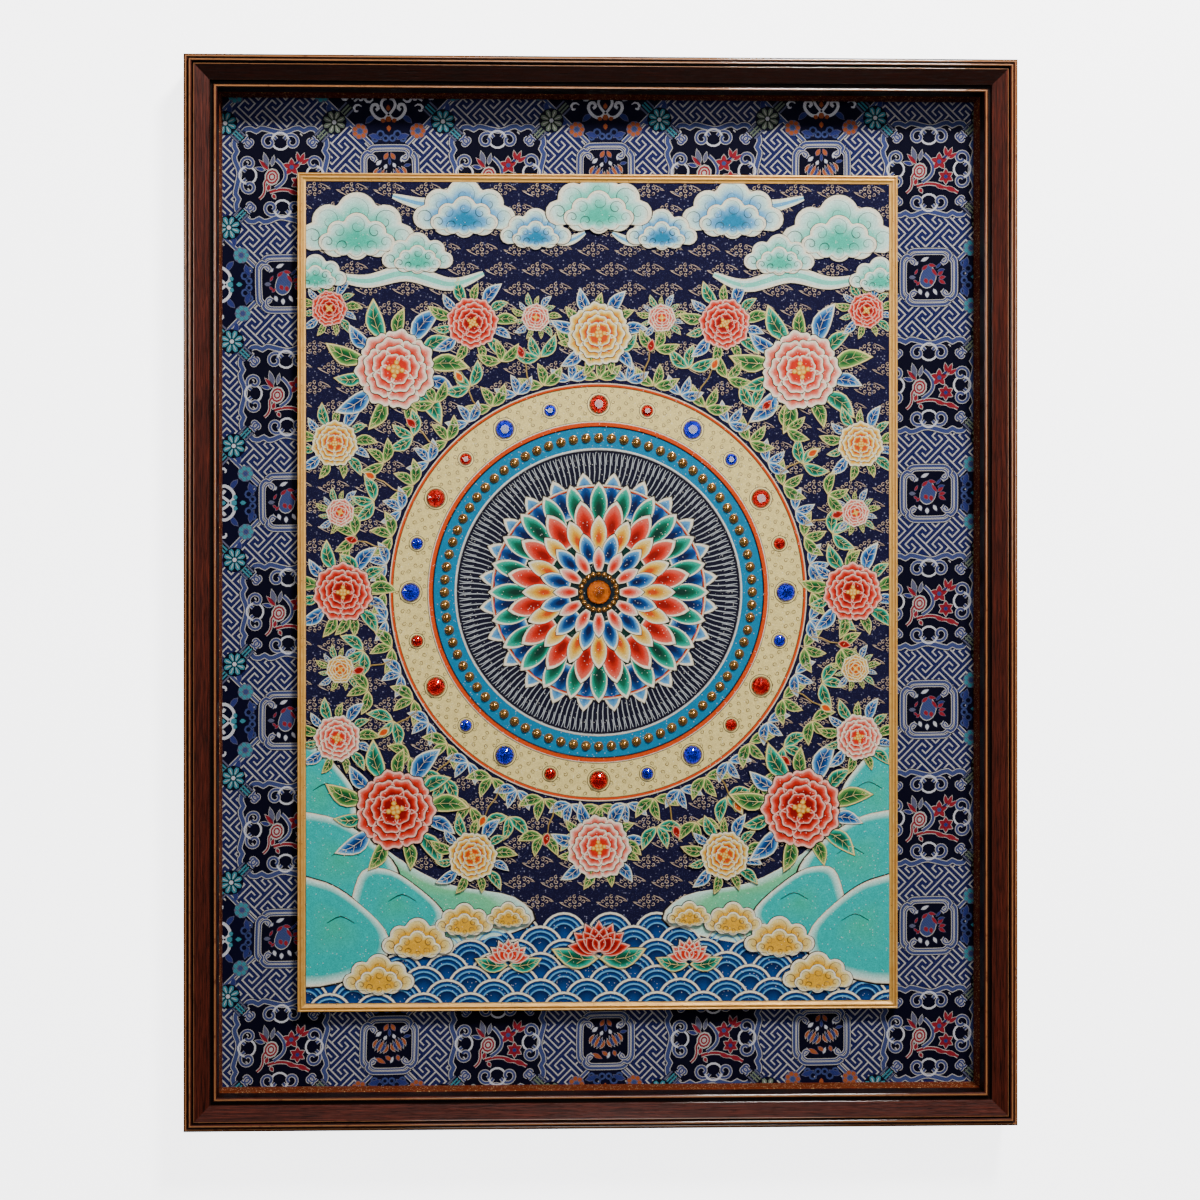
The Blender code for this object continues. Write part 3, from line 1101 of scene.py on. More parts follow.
# %% Chart sizes and silks
REPEAT = 217.5  # steps of the chart from one medallion to the next
STEP = 0.732  # millimetres in a step of the chart
LAYER = 0.018  # millimetres from one layer of floats to the next
SILK = {
    "cream": dye(196, 192, 184),
    "white": dye(222, 222, 226),
    "sky": dye(62, 74, 124),
    "slate": dye(46, 54, 116),
    "navy": dye(4, 4, 34),
    "ink": dye(3, 3, 26),
    "teal": dye(64, 142, 156),
    "sage": dye(116, 130, 108),
    "red": dye(150, 34, 46),
    "rust": dye(170, 88, 48),
    "grey": dye(96, 98, 122),
}
chart = Tray(BROCADE_FRONT, STEP)


def float_plate(outline, layer, silk):
    chart.plate(outline, 0.02 + LAYER * layer, SILK[silk])


def float_line(path, width, layer, silk, closed=False, taper=False):
    chart.ribbon(path, width, 0.02 + LAYER * layer, SILK[silk], closed, taper)


EDGE_SHARE = 0.68  # of the drawn edge: silk outlines are a single fine float


def edged_line(path, width, layer, silk="sky", border=1.3, closed=False, gap=False):
    """A band with a pale line along both sides and, where it crosses the fret, a dark gap outside it."""
    edge_width = width + 2 * border * EDGE_SHARE
    if gap:
        float_line(path, edge_width + 1.4, layer - 0.5, "ink", closed)
    float_line(path, edge_width, layer, "cream", closed)
    float_line(path, width, layer + 1, silk, closed)


def resize_chart(share=1.0, across=0.0, up=0.0):
    """Draws what follows at this share of its size about a point, until it is called again."""
    chart.scale = STEP * share
    chart.middle = tuple((1 - share) * STEP * value for value in (across, up))


def edged_plate(outline, layer, silk, edge="cream", border=1.2):
    middle = [sum(p[axis] for p in outline) / len(outline) for axis in (0, 1)]
    reach = max(math.dist(p, middle) for p in outline)
    for grow, height, colour in ((border * EDGE_SHARE, layer, edge), (-0.3, layer + 1, silk)):
        share = 1 + grow / reach
        resized = [tuple(m + (v - m) * share for v, m in zip(p, middle)) for p in outline]
        float_plate(resized, height, colour)


# %% Key fret
FRET_ACROSS = 8  # spirals along one side of a repeat
FRET_UNIT = REPEAT / (FRET_ACROSS * 4 * math.sqrt(2))
FRET_WIDTH = 1.4
DIAMOND_REACH = 99
DIAMOND_OVERLAP = 16  # the fret runs this far in under the diamond's edge
MEDALLION_COVERS = 36  # and isn't drawn this near the middle of the medallion
HOOKS = (
    # in fret units along the two diagonals
    [(1, 1.25), (1, 0), (3, 0), (3, 6), (1, 6), (1, 4.9)],
    [(2, 1.2), (2, 0), (0, 0), (0, 6), (2, 6), (2, 4.8)],
)
BAR = [(-3.9, 3), (2.9, 3)]


def in_fret(x, y):
    """Whether a place on the chart lies in the fret, with the repeat's middle at (0, 0)."""
    x, y = ((v + REPEAT / 2) % REPEAT - REPEAT / 2 for v in (x, y))
    half = REPEAT / 2
    if max(abs(x), abs(y)) < MEDALLION_COVERS:
        return False
    return (half - abs(x)) + (half - abs(y)) > DIAMOND_REACH - DIAMOND_OVERLAP


def diagonal(c, d):
    return ((c + d) / math.sqrt(2) * FRET_UNIT, (c - d) / math.sqrt(2) * FRET_UNIT)


def draw_fret():
    drawn = 0
    span = range(-2 * (FRET_ACROSS + 1), 2 * (FRET_ACROSS + 1))
    for i, j in ((i, j) for i in span for j in span):
        middle = diagonal(4 * i + 1.5, 4 * j + 3)
        if max(abs(v) for v in middle) > REPEAT / 2 + 1e-6 or not in_fret(*middle):
            continue
        for level, path in enumerate((HOOKS[0], BAR) if (i + j) % 2 == 0 else (HOOKS[1],)):
            path = [diagonal(4 * i + c, 4 * j + d) for c, d in path]
            float_line(path, FRET_WIDTH, 1 + level / 2, "cream")
            drawn += 1
    return drawn


print("fret lines:", draw_fret())

# %% [markdown]
# The diamonds are navy, edged by a double line, and hold one scroll design that is turned to all four
# sides: a pale moustache of curls with a small blossom, two rosettes with blue leaves, and branching
# curls on the diagonals. The blossoms are rust towards the top and bottom and teal to the sides.

# %% Diamond with scrolls
MOUSTACHE = ((0.8, 50), (4, 53.5), (9, 54), (14, 50.5), (17, 45))
MOUSTACHE += ((15.5, 40), (11.5, 39.5), (10, 43), (12.5, 45))
LOOP = ((1, 49), (4.5, 45), (7, 40), (5.5, 35), (1.5, 33.5))
STEM = ((10, 10), (16, 17), (21, 25), (27, 31), (34, 36))
DIAMOND_CURLS = (
    # across, up, radius, start, turn
    (20, 33, 5.4, 200, -300),
    (31, 44, 5.4, 210, 280),
    (12, 22, 5.4, 120, -280),
    (33, 28, 5.4, 100, 300),
)
HEART_PETALS = (
    # across, up, length, aim
    (0, 60, 6.5, 90),
    (-3.2, 56.5, 5.5, 205),
    (3.2, 56.5, 5.5, -25),
    (0, 46, 6.5, 270),
)


def draw_diamond(across, up):
    corners = [(DIAMOND_REACH, 0), (0, DIAMOND_REACH), (-DIAMOND_REACH, 0), (0, -DIAMOND_REACH)]
    float_plate(moved(corners, across, up), 2, "navy")
    for k in range(4):
        start, end = corners[k], corners[(k + 1) % 4]
        side = [tuple(a + (b - a) * t for a, b in zip(start, end)) for t in (0.18, 0.82)]
        edged_line(moved(side, across, up, scale=0.975), 2.6, 3, "sky", border=1.2, gap=True)
    for turn in (0, 90, 180, 270):
        accent = "rust" if turn in (0, 180) else "teal"

        def here(path, flip=False):
            return moved(path, across, up, turn, flip)

        for flip in (False, True):
            float_line(here(smooth_path(MOUSTACHE, 2), flip), 3.0, 3, "white")
            float_line(here(smooth_path(LOOP, 2), flip), 2.6, 3, "white")
            for curl in DIAMOND_CURLS:
                float_line(here(curl_path(*curl, 7), flip), 2.4, 3, "white", taper=True)
            float_line(here(smooth_path(STEM, 2), flip), 2.0, 3, "white")
            rosette = here([(29, 66)], flip)[0]
            float_plate(round_path(*rosette, 8.2, steps=10), 6, "grey")
            for petal in range(7):
                spot = moved([(5.4, 0)], *rosette, turn=petal * 360 / 7)[0]
                float_plate(round_path(*spot, 2.4, steps=6), 7, accent)
            float_plate(round_path(*rosette, 2.6, steps=6), 8, "sky")
            for root, aim in (((23, 58), 215), ((38, 60), -20), ((20, 70), 160)):
                leaf = here(moved(leaf_path(13, 5.4, 1.0, 4), *root, turn=aim), flip)
                edged_plate(leaf, 3, "slate", "grey", 1.0)
            for spot, radius in (((8.5, 69), 3.4), ((3.4, 73), 2.8), ((14, 73.5), 2.8)):
                float_line(here(round_path(*spot, radius, steps=8), flip), 1.8, 3, "sky", closed=True)
        for x, y, length, aim in HEART_PETALS:
            float_plate(here(moved(leaf_path(length, 4.6, 0, 3), x, y, aim)), 5, accent)
        float_plate(here(round_path(0, 54, 3.2, steps=6)), 5, accent)


draw_diamond(REPEAT / 2, REPEAT / 2)
ground_chart, chart = chart, Tray(BROCADE_FRONT, STEP)
print("shapes of the ground:", len(ground_chart.parts))


# %% Cartouches
def draw_leaves(leaves, across=0, up=0, edge="grey", border=0.8, layer=7):
    """Edged leaves, each (across, up, length, width, turn, silk)."""
    for x, y, length, width, turn, silk in leaves:
        leaf = moved(leaf_path(length, width, 0, 4), across + x, up + y, turn)
        edged_plate(leaf, layer, silk, edge, border)


def draw_bracket_frame(across, up):
    """Four bars round a navy square, each ending in two inward curls."""
    square = [(-25, -25), (25, -25), (25, 25), (-25, 25)]
    float_plate(moved(square, across, up), 6, "ink")
    curl = [(13.5, 17.5), (17, 15.5), (20, 17.5), (20.5, 22), (17.5, 25.5), (12, 26.5)]
    whole = smooth_path(mirrored(curl, -1) + curl[::-1], 2)
    bar = [(-21.5, 20), (-24.5, 24.5), (-20, 29.5), (-12, 30.5)]
    outer = smooth_path(bar + mirrored(bar[::-1], -1), 2)
    for turn in (0, 90, 180, 270):
        edged_line(moved(outer, across, up, turn), 2.8, 7, border=1.2, gap=True)
        edged_line(moved(whole, across, up, turn), 1.5, 9, border=1.2)


def draw_pomegranate(across, up, turn):
    """A round fruit of striped floats with a small crown."""
    for offset, silk in ((-6.5, "rust"), (-3.2, "slate"), (0, "rust"), (3.2, "slate"), (6.5, "rust")):
        length = 15 * math.sqrt(max(0.15, 1 - (offset / 9.5) ** 2))
        stripe = moved(leaf_path(length, 3.4, offset * 0.18, 4), -length / 2, offset)
        edged_plate(moved(stripe, across, up, turn), 7, silk, "cream", 0.9)
    crown = moved(leaf_path(6, 4, 0, 3), 7.5, 0)
    edged_plate(moved(crown, across, up, turn), 7, "white", "grey", 0.6)


def draw_fruit_cartouche(across, up):
    draw_bracket_frame(across, up)
    draw_pomegranate(across - 9.5, up - 1, 62)
    draw_pomegranate(across + 10, up + 0.5, 118)
    leaves = (
        (-6, 16, 9, 5, 60, "rust"),
        (6, 16, 9, 5, 120, "rust"),
        (0, 10, 8, 3.4, 90, "slate"),
        (-15, 10, 8, 4.4, 40, "white"),
        (13, 13, 8, 4.2, 75, "white"),
        (-15, -14, 13, 5, -28, "rust"),
        (-4, -12, 9, 4.6, -35, "rust"),
        (2, -20, 8, 3.6, 70, "white"),
        (9, -11, 7, 4.6, -70, "rust"),
        (16, 9, 8, 3.6, 10, "slate"),
    )
    draw_leaves(leaves, across, up)


def draw_blossom_cartouche(across, up):
    draw_bracket_frame(across, up)
    body = [(-9, -1), (-5, 9), (1, 14), (6, 9), (9, 0), (5, -9), (-2, -12), (-8, -8)]
    body = moved(smooth_path(body, 2, closed=True), across - 1, up)
    edged_plate(body, 7, "sky", "cream", 1.2)
    leaves = (
        (-8, 8, 9, 4.0, 40, "red"),
        (-1, 14, 9, 4.0, -10, "red"),
        (3, 10, 11, 3.6, -55, "red"),
        (-5, -1, 7, 5.0, -60, "red"),
        (2, -2, 7, 5.0, -80, "red"),
        (-16, 3, 7, 2.8, 60, "red"),
        (-17, -3, 6, 2.8, -40, "red"),
        (-14, -9, 6, 3.0, 45, "red"),
        (10, 2, 8, 4.2, 40, "red"),
        (11, -1, 8, 4.2, 10, "red"),
        (11, -3, 9, 4.2, -30, "red"),
        (-9, 18, 10, 4.0, 25, "white"),
        (-16, 14, 5, 4.0, 40, "white"),
        (-22, 0, 7, 4.0, 0, "grey"),
        (-11, -13, 7, 4.4, -70, "white"),
        (-2, -16, 7, 4.6, -90, "white"),
        (5, -13, 8, 4.0, -60, "white"),
        (8, 10, 9, 3.0, 45, "slate"),
        (10, 7, 8, 3.6, 12, "slate"),
    )
    for leaf in leaves:
        on_the_body = leaf[5] == "red" and -8 <= leaf[0] <= 3
        draw_leaves([leaf], across, up, layer=9 if on_the_body else 7)


CARTOUCHE_SHARE = 0.9
resize_chart(CARTOUCHE_SHARE, REPEAT / 2, 0)
draw_fruit_cartouche(REPEAT / 2, 0)
resize_chart(CARTOUCHE_SHARE, 0, REPEAT / 2)
draw_blossom_cartouche(0, REPEAT / 2)
resize_chart()
print("shapes after the cartouches:", len(chart.parts))

# %% [markdown]
# The medallion is a square with rounded, bumped sides, drawn for one quarter and turned to the other
# three. At the middle of each side a white ring links two blue curls. Inside are a peony, two small
# star flowers, a bud and a butterfly-like blossom on curving stems, all outlined in white.

# %% Medallion
def draw_medallion():
    eighth = [(0, 44.5), (8, 45.5), (14, 48), (20, 49), (25, 46), (30, 48.5), (36, 48), (39.5, 44)]
    quarter = eighth + [(44, 39.5)] + [(y, x) for x, y in reversed(eighth)][:-1]
    loop = [p for turn in (0, 270, 180, 90) for p in moved(quarter[:-1], turn=turn)]
    loop = smooth_path(loop, 2, closed=True)
    float_plate(loop, 2, "ink")
    edged_line(loop, 4.2, 3, border=1.2, closed=True, gap=True)
    for turn in (0, 90, 180, 270):
        for flip in (False, True):
            hook = moved(curl_path(32, 35.0, 5.2, 70, -330, 11, 0.4), turn=turn, flip=flip)
            edged_line(hook, 1.8, 5, border=1.0)
            scroll = curl_path(12.0, 34.5, 8.6, 160, -400, 16, 0.32)
            edged_line(moved(scroll, turn=turn, flip=flip), 2.4, 5, border=1.0)
        ring = moved(round_path(0, 35.5, 9.0, steps=14), turn=turn)
        float_line(ring, 2.0, 7, "white", closed=True)


def draw_star_flower(across, up, radius, petals, heart):
    for k in range(petals):
        petal = moved(leaf_path(radius, radius * 0.62, 0, 4), across, up, 90 + k * 360 / petals)
        edged_plate(petal, 7, "red", "cream", 0.9)
    float_plate(round_path(across, up, radius * 0.27, steps=6), 9, heart)


def draw_medallion_flowers():
    branch = smooth_path([(-5, 16), (0, 11), (4, 4), (4, -3), (0, -9), (-7, -14)], 3)
    edged_line(branch, 2.8, 5, border=1.1)
    stem = smooth_path([(-14, -3), (-18, -8), (-18, -15), (-20, -21), (-24, -25)], 3)
    edged_line(stem, 1.8, 5, "red", border=1.1)
    long_leaf = smooth_path([(-13, -18), (-3, -15.5), (7, -16), (15, -19), (23, -21), (31, -25)], 3)
    edged_line(long_leaf, 2.6, 5, "red", border=1.1)
    red_leaves = (
        (6, -16, 13, 5, -22, "red"),
        (17, -19, 15, 5.6, -20, "red"),
        (-15, -17, 8, 4.4, 75, "red"),
        (-10, -20, 6, 4, -60, "red"),
    )
    draw_leaves(red_leaves, edge="cream", border=0.9)
    for radius, silk in ((8.0, "cream"), (6.6, "red"), (4.8, "cream"), (3.6, "red"), (2.0, "cream")):
        layer = 6 + (8.0 - radius) * 0.5
        float_plate(moved(round_path(0, 0, radius, steps=10, squash=1.15), -10, -2, -18), layer, silk)
    bud_leaves = (
        (-13, 5, 15, 4.6, 132, "red"),
        (-14, 8, 16, 6.0, 104, "grey"),
        (-10, 9, 12, 4.4, 76, "grey"),
        (-17, 5, 11, 4.4, 165, "slate"),
        (19, 13, 11, 4.4, 100, "red"),
        (20, 12, 12, 4.6, 66, "red"),
        (21, 11, 11, 4.4, 34, "red"),
        (14, 10, 8, 3.0, 40, "slate"),
    )
    draw_leaves(bud_leaves, edge="cream", border=1.0)
    draw_star_flower(11, 8, 9.5, 5, "sky")
    draw_star_flower(18, -8, 8.5, 6, "slate")


MEDALLION_SHARE = 0.95
resize_chart(MEDALLION_SHARE)
draw_medallion()
draw_medallion_flowers()
resize_chart()


# %% Corner flowers and striped bars
def draw_corner_flower(across, up, silk):
    float_plate(round_path(across, up, 12.5, steps=12), 6, "ink")
    for k in range(8):
        turn = k * 45 + 22.5
        petal = [(3, -0.7), (8, -2.5), (11, -1.5), (11, 1.5), (8, 2.5), (3, 0.7)]
        float_plate(moved(petal, across, up, turn), 8, silk)
        float_line(moved([(4.2, 0), (9.4, 0)], across, up, turn), 0.9, 9, "cream")
    float_plate(round_path(across, up, 2.3, steps=6), 9, "white")


def draw_bars(across, up, turn, silk):
    for end in (-1, 1):
        for k in range(4):
            middle = 17.5 * end
            bar = [(middle - 5.5, k * 3.2 - 4.8), (middle + 5.5, k * 3.2 - 4.8)]
            path = moved(bar, across, up, turn)
            float_line(path, 2.8, 5, "ink")
            float_line(path, 1.6, 6, silk if k in (1, 2) else "grey")


for side, silk in ((-1, "teal"), (1, "sage")):
    for level in (-1, 1):
        draw_bars(side * 54.4, level * 52, 45 * side * level, silk)
        draw_corner_flower(side * 54.4, level * 52, silk)
for tray in (ground_chart, chart):
    print("one repeat:", len(tray.parts), "shapes,", len(tray.faces), "faces")

# %% [markdown]
# ## The silk mount: repeat it over the cloth
#
# Geometry Nodes lay the repeat out in rows and columns. The woven rows rise a little to the right, and
# the left edge bows where the cloth was pulled over its board, so the tree slides the points after it
# has realised the copies. Shapes that lie wholly under the picture or past the board are dropped:
# each point knows the way to the middle of its own shape and how far the shape reaches, so a shape is
# always kept or dropped whole.

# %% Tell each shape where its middle is
def marked_mesh(name, tray):
    mesh = tray.mesh(name)
    to_middle, reaches = [0.0] * (3 * len(tray.points)), [0.0] * len(tray.points)
    for first, last in tray.parts:
        middle = sum((tray.points[i] for i in range(first, last)), Vector()) / (last - first)
        reach = max((tray.points[i] - middle).length for i in range(first, last))
        for i in range(first, last):
            to_middle[3 * i : 3 * i + 3] = middle - tray.points[i]
            reaches[i] = reach
    put_values(mesh, to_middle=("FLOAT_VECTOR", "vector", to_middle), reach=("FLOAT", "value", reaches))
    return mesh


# %% The tree that weaves the repeat
BOW_REACH = (-0.28, 0.05)  # metres across: from the whole bow at the left to none
SLIP_COVERS = 3.0  # silk shapes this far inside the slip's outer edge are never seen


def beyond(tree, value, middle, reach, half_size):
    """How far a shape's nearest edge lies outside (above 0) a band of this half size."""
    away = sum_of(tree, "ABSOLUTE", minus(tree, value, middle))
    return minus(tree, minus(tree, away, reach), half_size)


def read_named(tree, name, data_type="FLOAT"):
    return shape_node(tree, "InputNamedAttribute", {"Name": name}, data_type=data_type)


def make_weaving_tree():
    tree, given, result = geometry_tree(
        "weave the repeat",
        ("Repeat", FLOAT, 0.16),
        ("First across", FLOAT, 0.0),
        ("First up", FLOAT, 0.0),
        ("Columns", WHOLE, 5),
        ("Rows", WHOLE, 6),
        ("Rise", FLOAT, 0.0145),
        ("Bow", FLOAT, 0.008),
        ("Middle up", FLOAT, -0.37),
        ("Half width", FLOAT, 0.28),
        ("Half height", FLOAT, 0.36),
    )
    grid = given["Geometry"]
    for count, axis in ((given["Rows"], "z"), (given["Columns"], "x")):
        step = point_of(tree, **{axis: given["Repeat"]})
        line = shape_node(tree, "MeshLine", {"Count": count, "Offset": step})
        grid = shape_node(tree, "InstanceOnPoints", {"Points": line, "Instance": grid})
    real = shape_node(tree, "RealizeInstances", {"Geometry": grid})
    first = point_of(tree, given["First across"], 0.0, given["First up"])
    started = shape_node(tree, "Transform", {"Geometry": real, "Translation": first})
    position = point_place(tree)
    where = parts_of(tree, position)
    rise = times(tree, where[0], given["Rise"])
    level = sum_of(tree, "DIVIDE", minus(tree, where[2], given["Middle up"]), given["Half height"])
    arch = minus(tree, 1.0, times(tree, level, level))
    to_left = between(tree, where[0], *BOW_REACH, 1.0, 0.0)
    bow = times(tree, times(tree, given["Bow"], arch), to_left)
    pulled = shape_node(tree, "SetPosition", {"Geometry": started, "Offset": point_of(tree, bow, 0.0, rise)})
    reach = read_named(tree, "reach")
    values = {0: position, 1: read_named(tree, "to_middle", "FLOAT_VECTOR")}
    middle = add_node(tree, "ShaderNodeVectorMath", values, operation="ADD").outputs[0]
    across, _, up = parts_of(tree, middle)
    past = sum_of(
        tree,
        "MAXIMUM",
        beyond(tree, across, 0.0, reach, given["Half width"]),
        beyond(tree, up, given["Middle up"], reach, given["Half height"]),
    )
    inwards = times(tree, reach, -1.0)
    hidden = sum_of(
        tree,
        "MAXIMUM",
        beyond(tree, across, PICTURE_ACROSS * MM, inwards, (SLIP_WIDTH / 2 - SLIP_COVERS) * MM),
        beyond(tree, up, given["Middle up"], inwards, (SLIP_HEIGHT / 2 - SLIP_COVERS) * MM),
    )
    past = sum_of(tree, "GREATER_THAN", past, 0.0)
    dropped = sum_of(tree, "MAXIMUM", past, sum_of(tree, "LESS_THAN", hidden, 0.0))
    values = {"Geometry": pulled, "Selection": dropped}
    return end_tree(tree, shape_node(tree, "DeleteGeometry", values, domain="POINT"), given, result)


# %% Silk floats
def make_float_finish():
    """Bundles of silk thread: the tint of each float, ribbed by the twill that binds it."""
    finish = Finish("silk floats", {"Specular IOR Level": 0.05})
    tint = attribute(finish.tree, "tint", "Color")
    weave = finish.pattern(WEAVE, Thread=TWILL_THREAD, Twill=1.0)["Height"]
    fibre = finish.pattern(CLOUDS, Size=0.0012, Contrast=0.8)["Value"]
    shade = mix_colours(finish.tree, 1.0, tint, dye(70, 70, 104), "MULTIPLY")
    silk = finish.layers(
        mix_colours(finish.tree, between(finish.tree, weave, 0.15, 0.7), shade, tint),
        (fibre, 0.2, shade),
        (finish.pattern(CLOUDS, Size=0.09, Contrast=0.7)["Value"], 0.08, dye(40, 40, 60)),
    )
    finish.feed("Base Color", silk)
    finish.feed("Roughness", fibre, 0.6, 0.42)
    finish.bump(weave, 0.0002, 0.8)
    return finish.material


def trim_flat_shapes(mesh, across_middle, half_width, half_height):
    """Cuts off what runs past a rectangle and closes the cut shapes again."""
    shape = bmesh.new()
    shape.from_mesh(mesh)
    for across, up in ((1, 0), (-1, 0), (0, 1), (0, -1)):
        everything = shape.verts[:] + shape.edges[:] + shape.faces[:]
        plane = {
            "plane_co": place(across_middle + across * half_width, MIDDLE_UP + up * half_height, 0),
            "plane_no": (across, 0, up),
        }
        cut = bmesh.ops.bisect_plane(shape, geom=everything, clear_outer=True, **plane)
        rims = [e for e in cut["geom_cut"] if isinstance(e, bmesh.types.BMEdge)]
        bmesh.ops.holes_fill(shape, edges=rims, sides=0)
    shape.to_mesh(mesh)
    shape.free()


SILK_FLOATS = make_float_finish()
FIRST_MEDALLION = (-234.9, -708.8)  # the lowest of the left column, in millimetres
LOWEST_ROW_UP = 3.4  # makes up for the rise of the rows, which lowers their left ends
BOARD_MARGIN = 0.5  # the floats end this far inside the board's edge
WEAVING_TREE = make_weaving_tree()
print("weaving tree:", len(WEAVING_TREE.nodes), "nodes")
WEAVING_VALUES = {
    "Repeat": REPEAT * STEP * MM,
    "First across": (FIRST_MEDALLION[0] - REPEAT * STEP) * MM,
    "First up": (FIRST_MEDALLION[1] + LOWEST_ROW_UP - REPEAT * STEP) * MM,
    "Columns": 5,
    "Rows": 7,
    "Middle up": MIDDLE_UP * MM,
    "Half width": BOARD_WIDTH / 2 * MM,
    "Half height": BOARD_HEIGHT / 2 * MM,
    "Finish": SILK_FLOATS,
}


def woven(name, tray):
    mesh = run_tree(WEAVING_TREE, marked_mesh(name, tray), WEAVING_VALUES)
    trim_flat_shapes(mesh, 0, BOARD_WIDTH / 2 - BOARD_MARGIN, BOARD_HEIGHT / 2 - BOARD_MARGIN)
    for label in ("to_middle", "reach"):
        mesh.attributes.remove(mesh.attributes[label])
    return add_piece(name, mesh, SILK_FLOATS)


silk_floats = [woven("silk_ground", ground_chart), woven("silk_figure", chart)]

# %% [markdown]
# ## The painted cloth: ground
#
# The picture is done in coloured ground stone on a navy cloth, with outlines of fine gilt wire and set
# stones, a technique in which the colour lies inside wire walls like enamel. The design here is a
# plain one of the lesson's own, made of parts that belong to no one: a round medallion with a lotus
# rosette, peony sprays, clouds and waves. The cloth itself is a closed sheet with a grainy finish.

# %% Paint colours
PAINT = {
    "night": dye(12, 12, 34),
    "line": dye(20, 10, 8),
    "cream": dye(228, 208, 134),
    "buff": dye(176, 146, 76),
    "bone": dye(232, 224, 200),
    "turquoise": dye(4, 116, 158),
    "mint": dye(44, 176, 150),
    "lagoon": dye(24, 172, 168),
    "foam": dye(196, 230, 220),
    "jade": dye(4, 92, 66),
    "deep jade": dye(3, 46, 36),
    "leaf": dye(20, 92, 40),
    "pale leaf": dye(120, 160, 84),
    "sea": dye(8, 64, 130),
    "deep sea": dye(5, 18, 62),
    "pale sea": dye(92, 160, 206),
    "coral": dye(196, 34, 14),
    "scarlet": dye(132, 8, 8),
    "pink": dye(214, 104, 86),
    "blush": dye(238, 184, 168),
    "yellow": dye(216, 160, 40),
    "orange": dye(196, 66, 12),
    "silver": dye(170, 176, 182),
    "tan": dye(204, 182, 156),
    "meadow": dye(104, 190, 138),
    "pale mint": dye(112, 204, 184),
    "umber": dye(104, 80, 40),
}
SIGHT_WIDTH, SIGHT_HEIGHT = 426.0, 597.0
CLOTH_WIDTH, CLOTH_HEIGHT, CLOTH_BACK = SLIP_WIDTH - 5.0, SLIP_HEIGHT - 5.0, 14.0


def make_cloth_finish():
    """Navy cloth strewn with coloured dust."""
    finish = Finish("navy painted cloth", {"Specular IOR Level": 0.05})
    weave = finish.pattern(WEAVE, Thread=0.00045, Twill=0.0)["Height"]
    dust = finish.pattern(SPECKS, Size=0.0009, Share=0.5)["Specks"]
    bright = finish.pattern(SPECKS, Size=0.0013, Share=0.1)["Specks"]
    cloth = finish.layers(
        mix_colours(finish.tree, weave, dye(6, 6, 22), dye(20, 20, 52)),
        (finish.pattern(CLOUDS, Size=0.07, Contrast=0.7)["Value"], 0.5, dye(20, 15, 42)),
        (dust, 0.55, dye(48, 50, 92)),
        (bright, 0.6, dye(150, 150, 178)),
    )
    finish.feed("Base Color", cloth)
    finish.feed("Roughness", bright, 0.75, 0.3)
    finish.bump(plus(finish.tree, weave, dust), 0.0001, 0.7)
    return finish.material


slab = slab_mesh("cloth", PICTURE_ACROSS, MIDDLE_UP, CLOTH_WIDTH, CLOTH_HEIGHT, CLOTH_BACK, CLOTH_FRONT)
finish = make_cloth_finish()
cloth = add_piece("painted_cloth_ground", slab, finish, ["painted_cloth"], EDGE_ANGLE)

# %% [markdown]
# ## Finish of the coloured stone and of the wires
#
# Ground stone sparkles: each grain faces its own way. One material does all the fills, taking its
# colour from `tint`, with a fine grain, small painted glints that stand in for that sparkle, and
# slightly uneven colour. The wires are thin gilded metal with a warm, worn shine, also tinted, so
# that gilt, silver and dark lines are one finish.

# %% Fill and wire finishes
def make_fill_finish():
    finish = Finish("ground coloured stone", {"Specular IOR Level": 0.1})
    tint = attribute(finish.tree, "tint", "Color")
    grain = finish.pattern(SPECKS, Size=0.0006, Share=0.55)
    painted_glints = finish.pattern(SPECKS, Size=0.001, Share=0.05)["Specks"]
    clouds = finish.pattern(CLOUDS, Size=0.006, Contrast=0.6)["Value"]
    dark = mix_colours(finish.tree, 1.0, tint, dye(186, 182, 178), "MULTIPLY")
    # Painted glints: a few near-white specks mixed into the colour stand in for sparkle.
    coats = ((grain["Chance"], 0.6, dark), (clouds, 0.4, dark), (painted_glints, 0.45, dye(240, 238, 228)))
    finish.feed("Base Color", finish.layers(tint, *coats))
    finish.feed("Roughness", grain["Chance"], 0.75, 0.45)
    finish.bump(grain["Specks"], 0.00012, 0.6)
    return finish.material


def make_wire_finish():
    finish = Finish("gilded wire", {"Coat Weight": 0.1})
    tint = attribute(finish.tree, "tint", "Color")
    clouds = finish.pattern(CLOUDS, Size=0.003, Contrast=0.8)["Value"]
    dull = mix_colours(finish.tree, 1.0, tint, dye(176, 160, 140), "MULTIPLY")
    finish.feed("Base Color", finish.layers(tint, (clouds, 0.7, dull)))
    finish.feed("Roughness", clouds, 0.42, 0.3)
    finish.feed("Metallic", clouds, 0.1, 0.25)
    finish.bump(clouds, 0.0001, 0.4)
    return finish.material


FILL, WIRE = make_fill_finish(), make_wire_finish()
PICTURE_MIDDLE = (PICTURE_ACROSS, MIDDLE_UP)


def paint_tray(middle=(0.0, 0.0)):
    """A tray on the painted cloth: at the origin, for a copy, or at the picture's middle."""
    return Tray(CLOTH_FRONT, 1.0, middle)


def lay(tray, outline, heart, steps, *where):
    """A mound whose outline and heart are moved together: where is what `moved` takes."""
    tray.mound(moved(outline, *where), moved([heart], *where)[0], steps)


def shades(*steps, lift=0.0):
    """Steps for a mound: (share, rise, paint name), all lifted by the layer it lies on."""
    return [(share, rise + lift, PAINT[name]) for share, rise, name in steps]


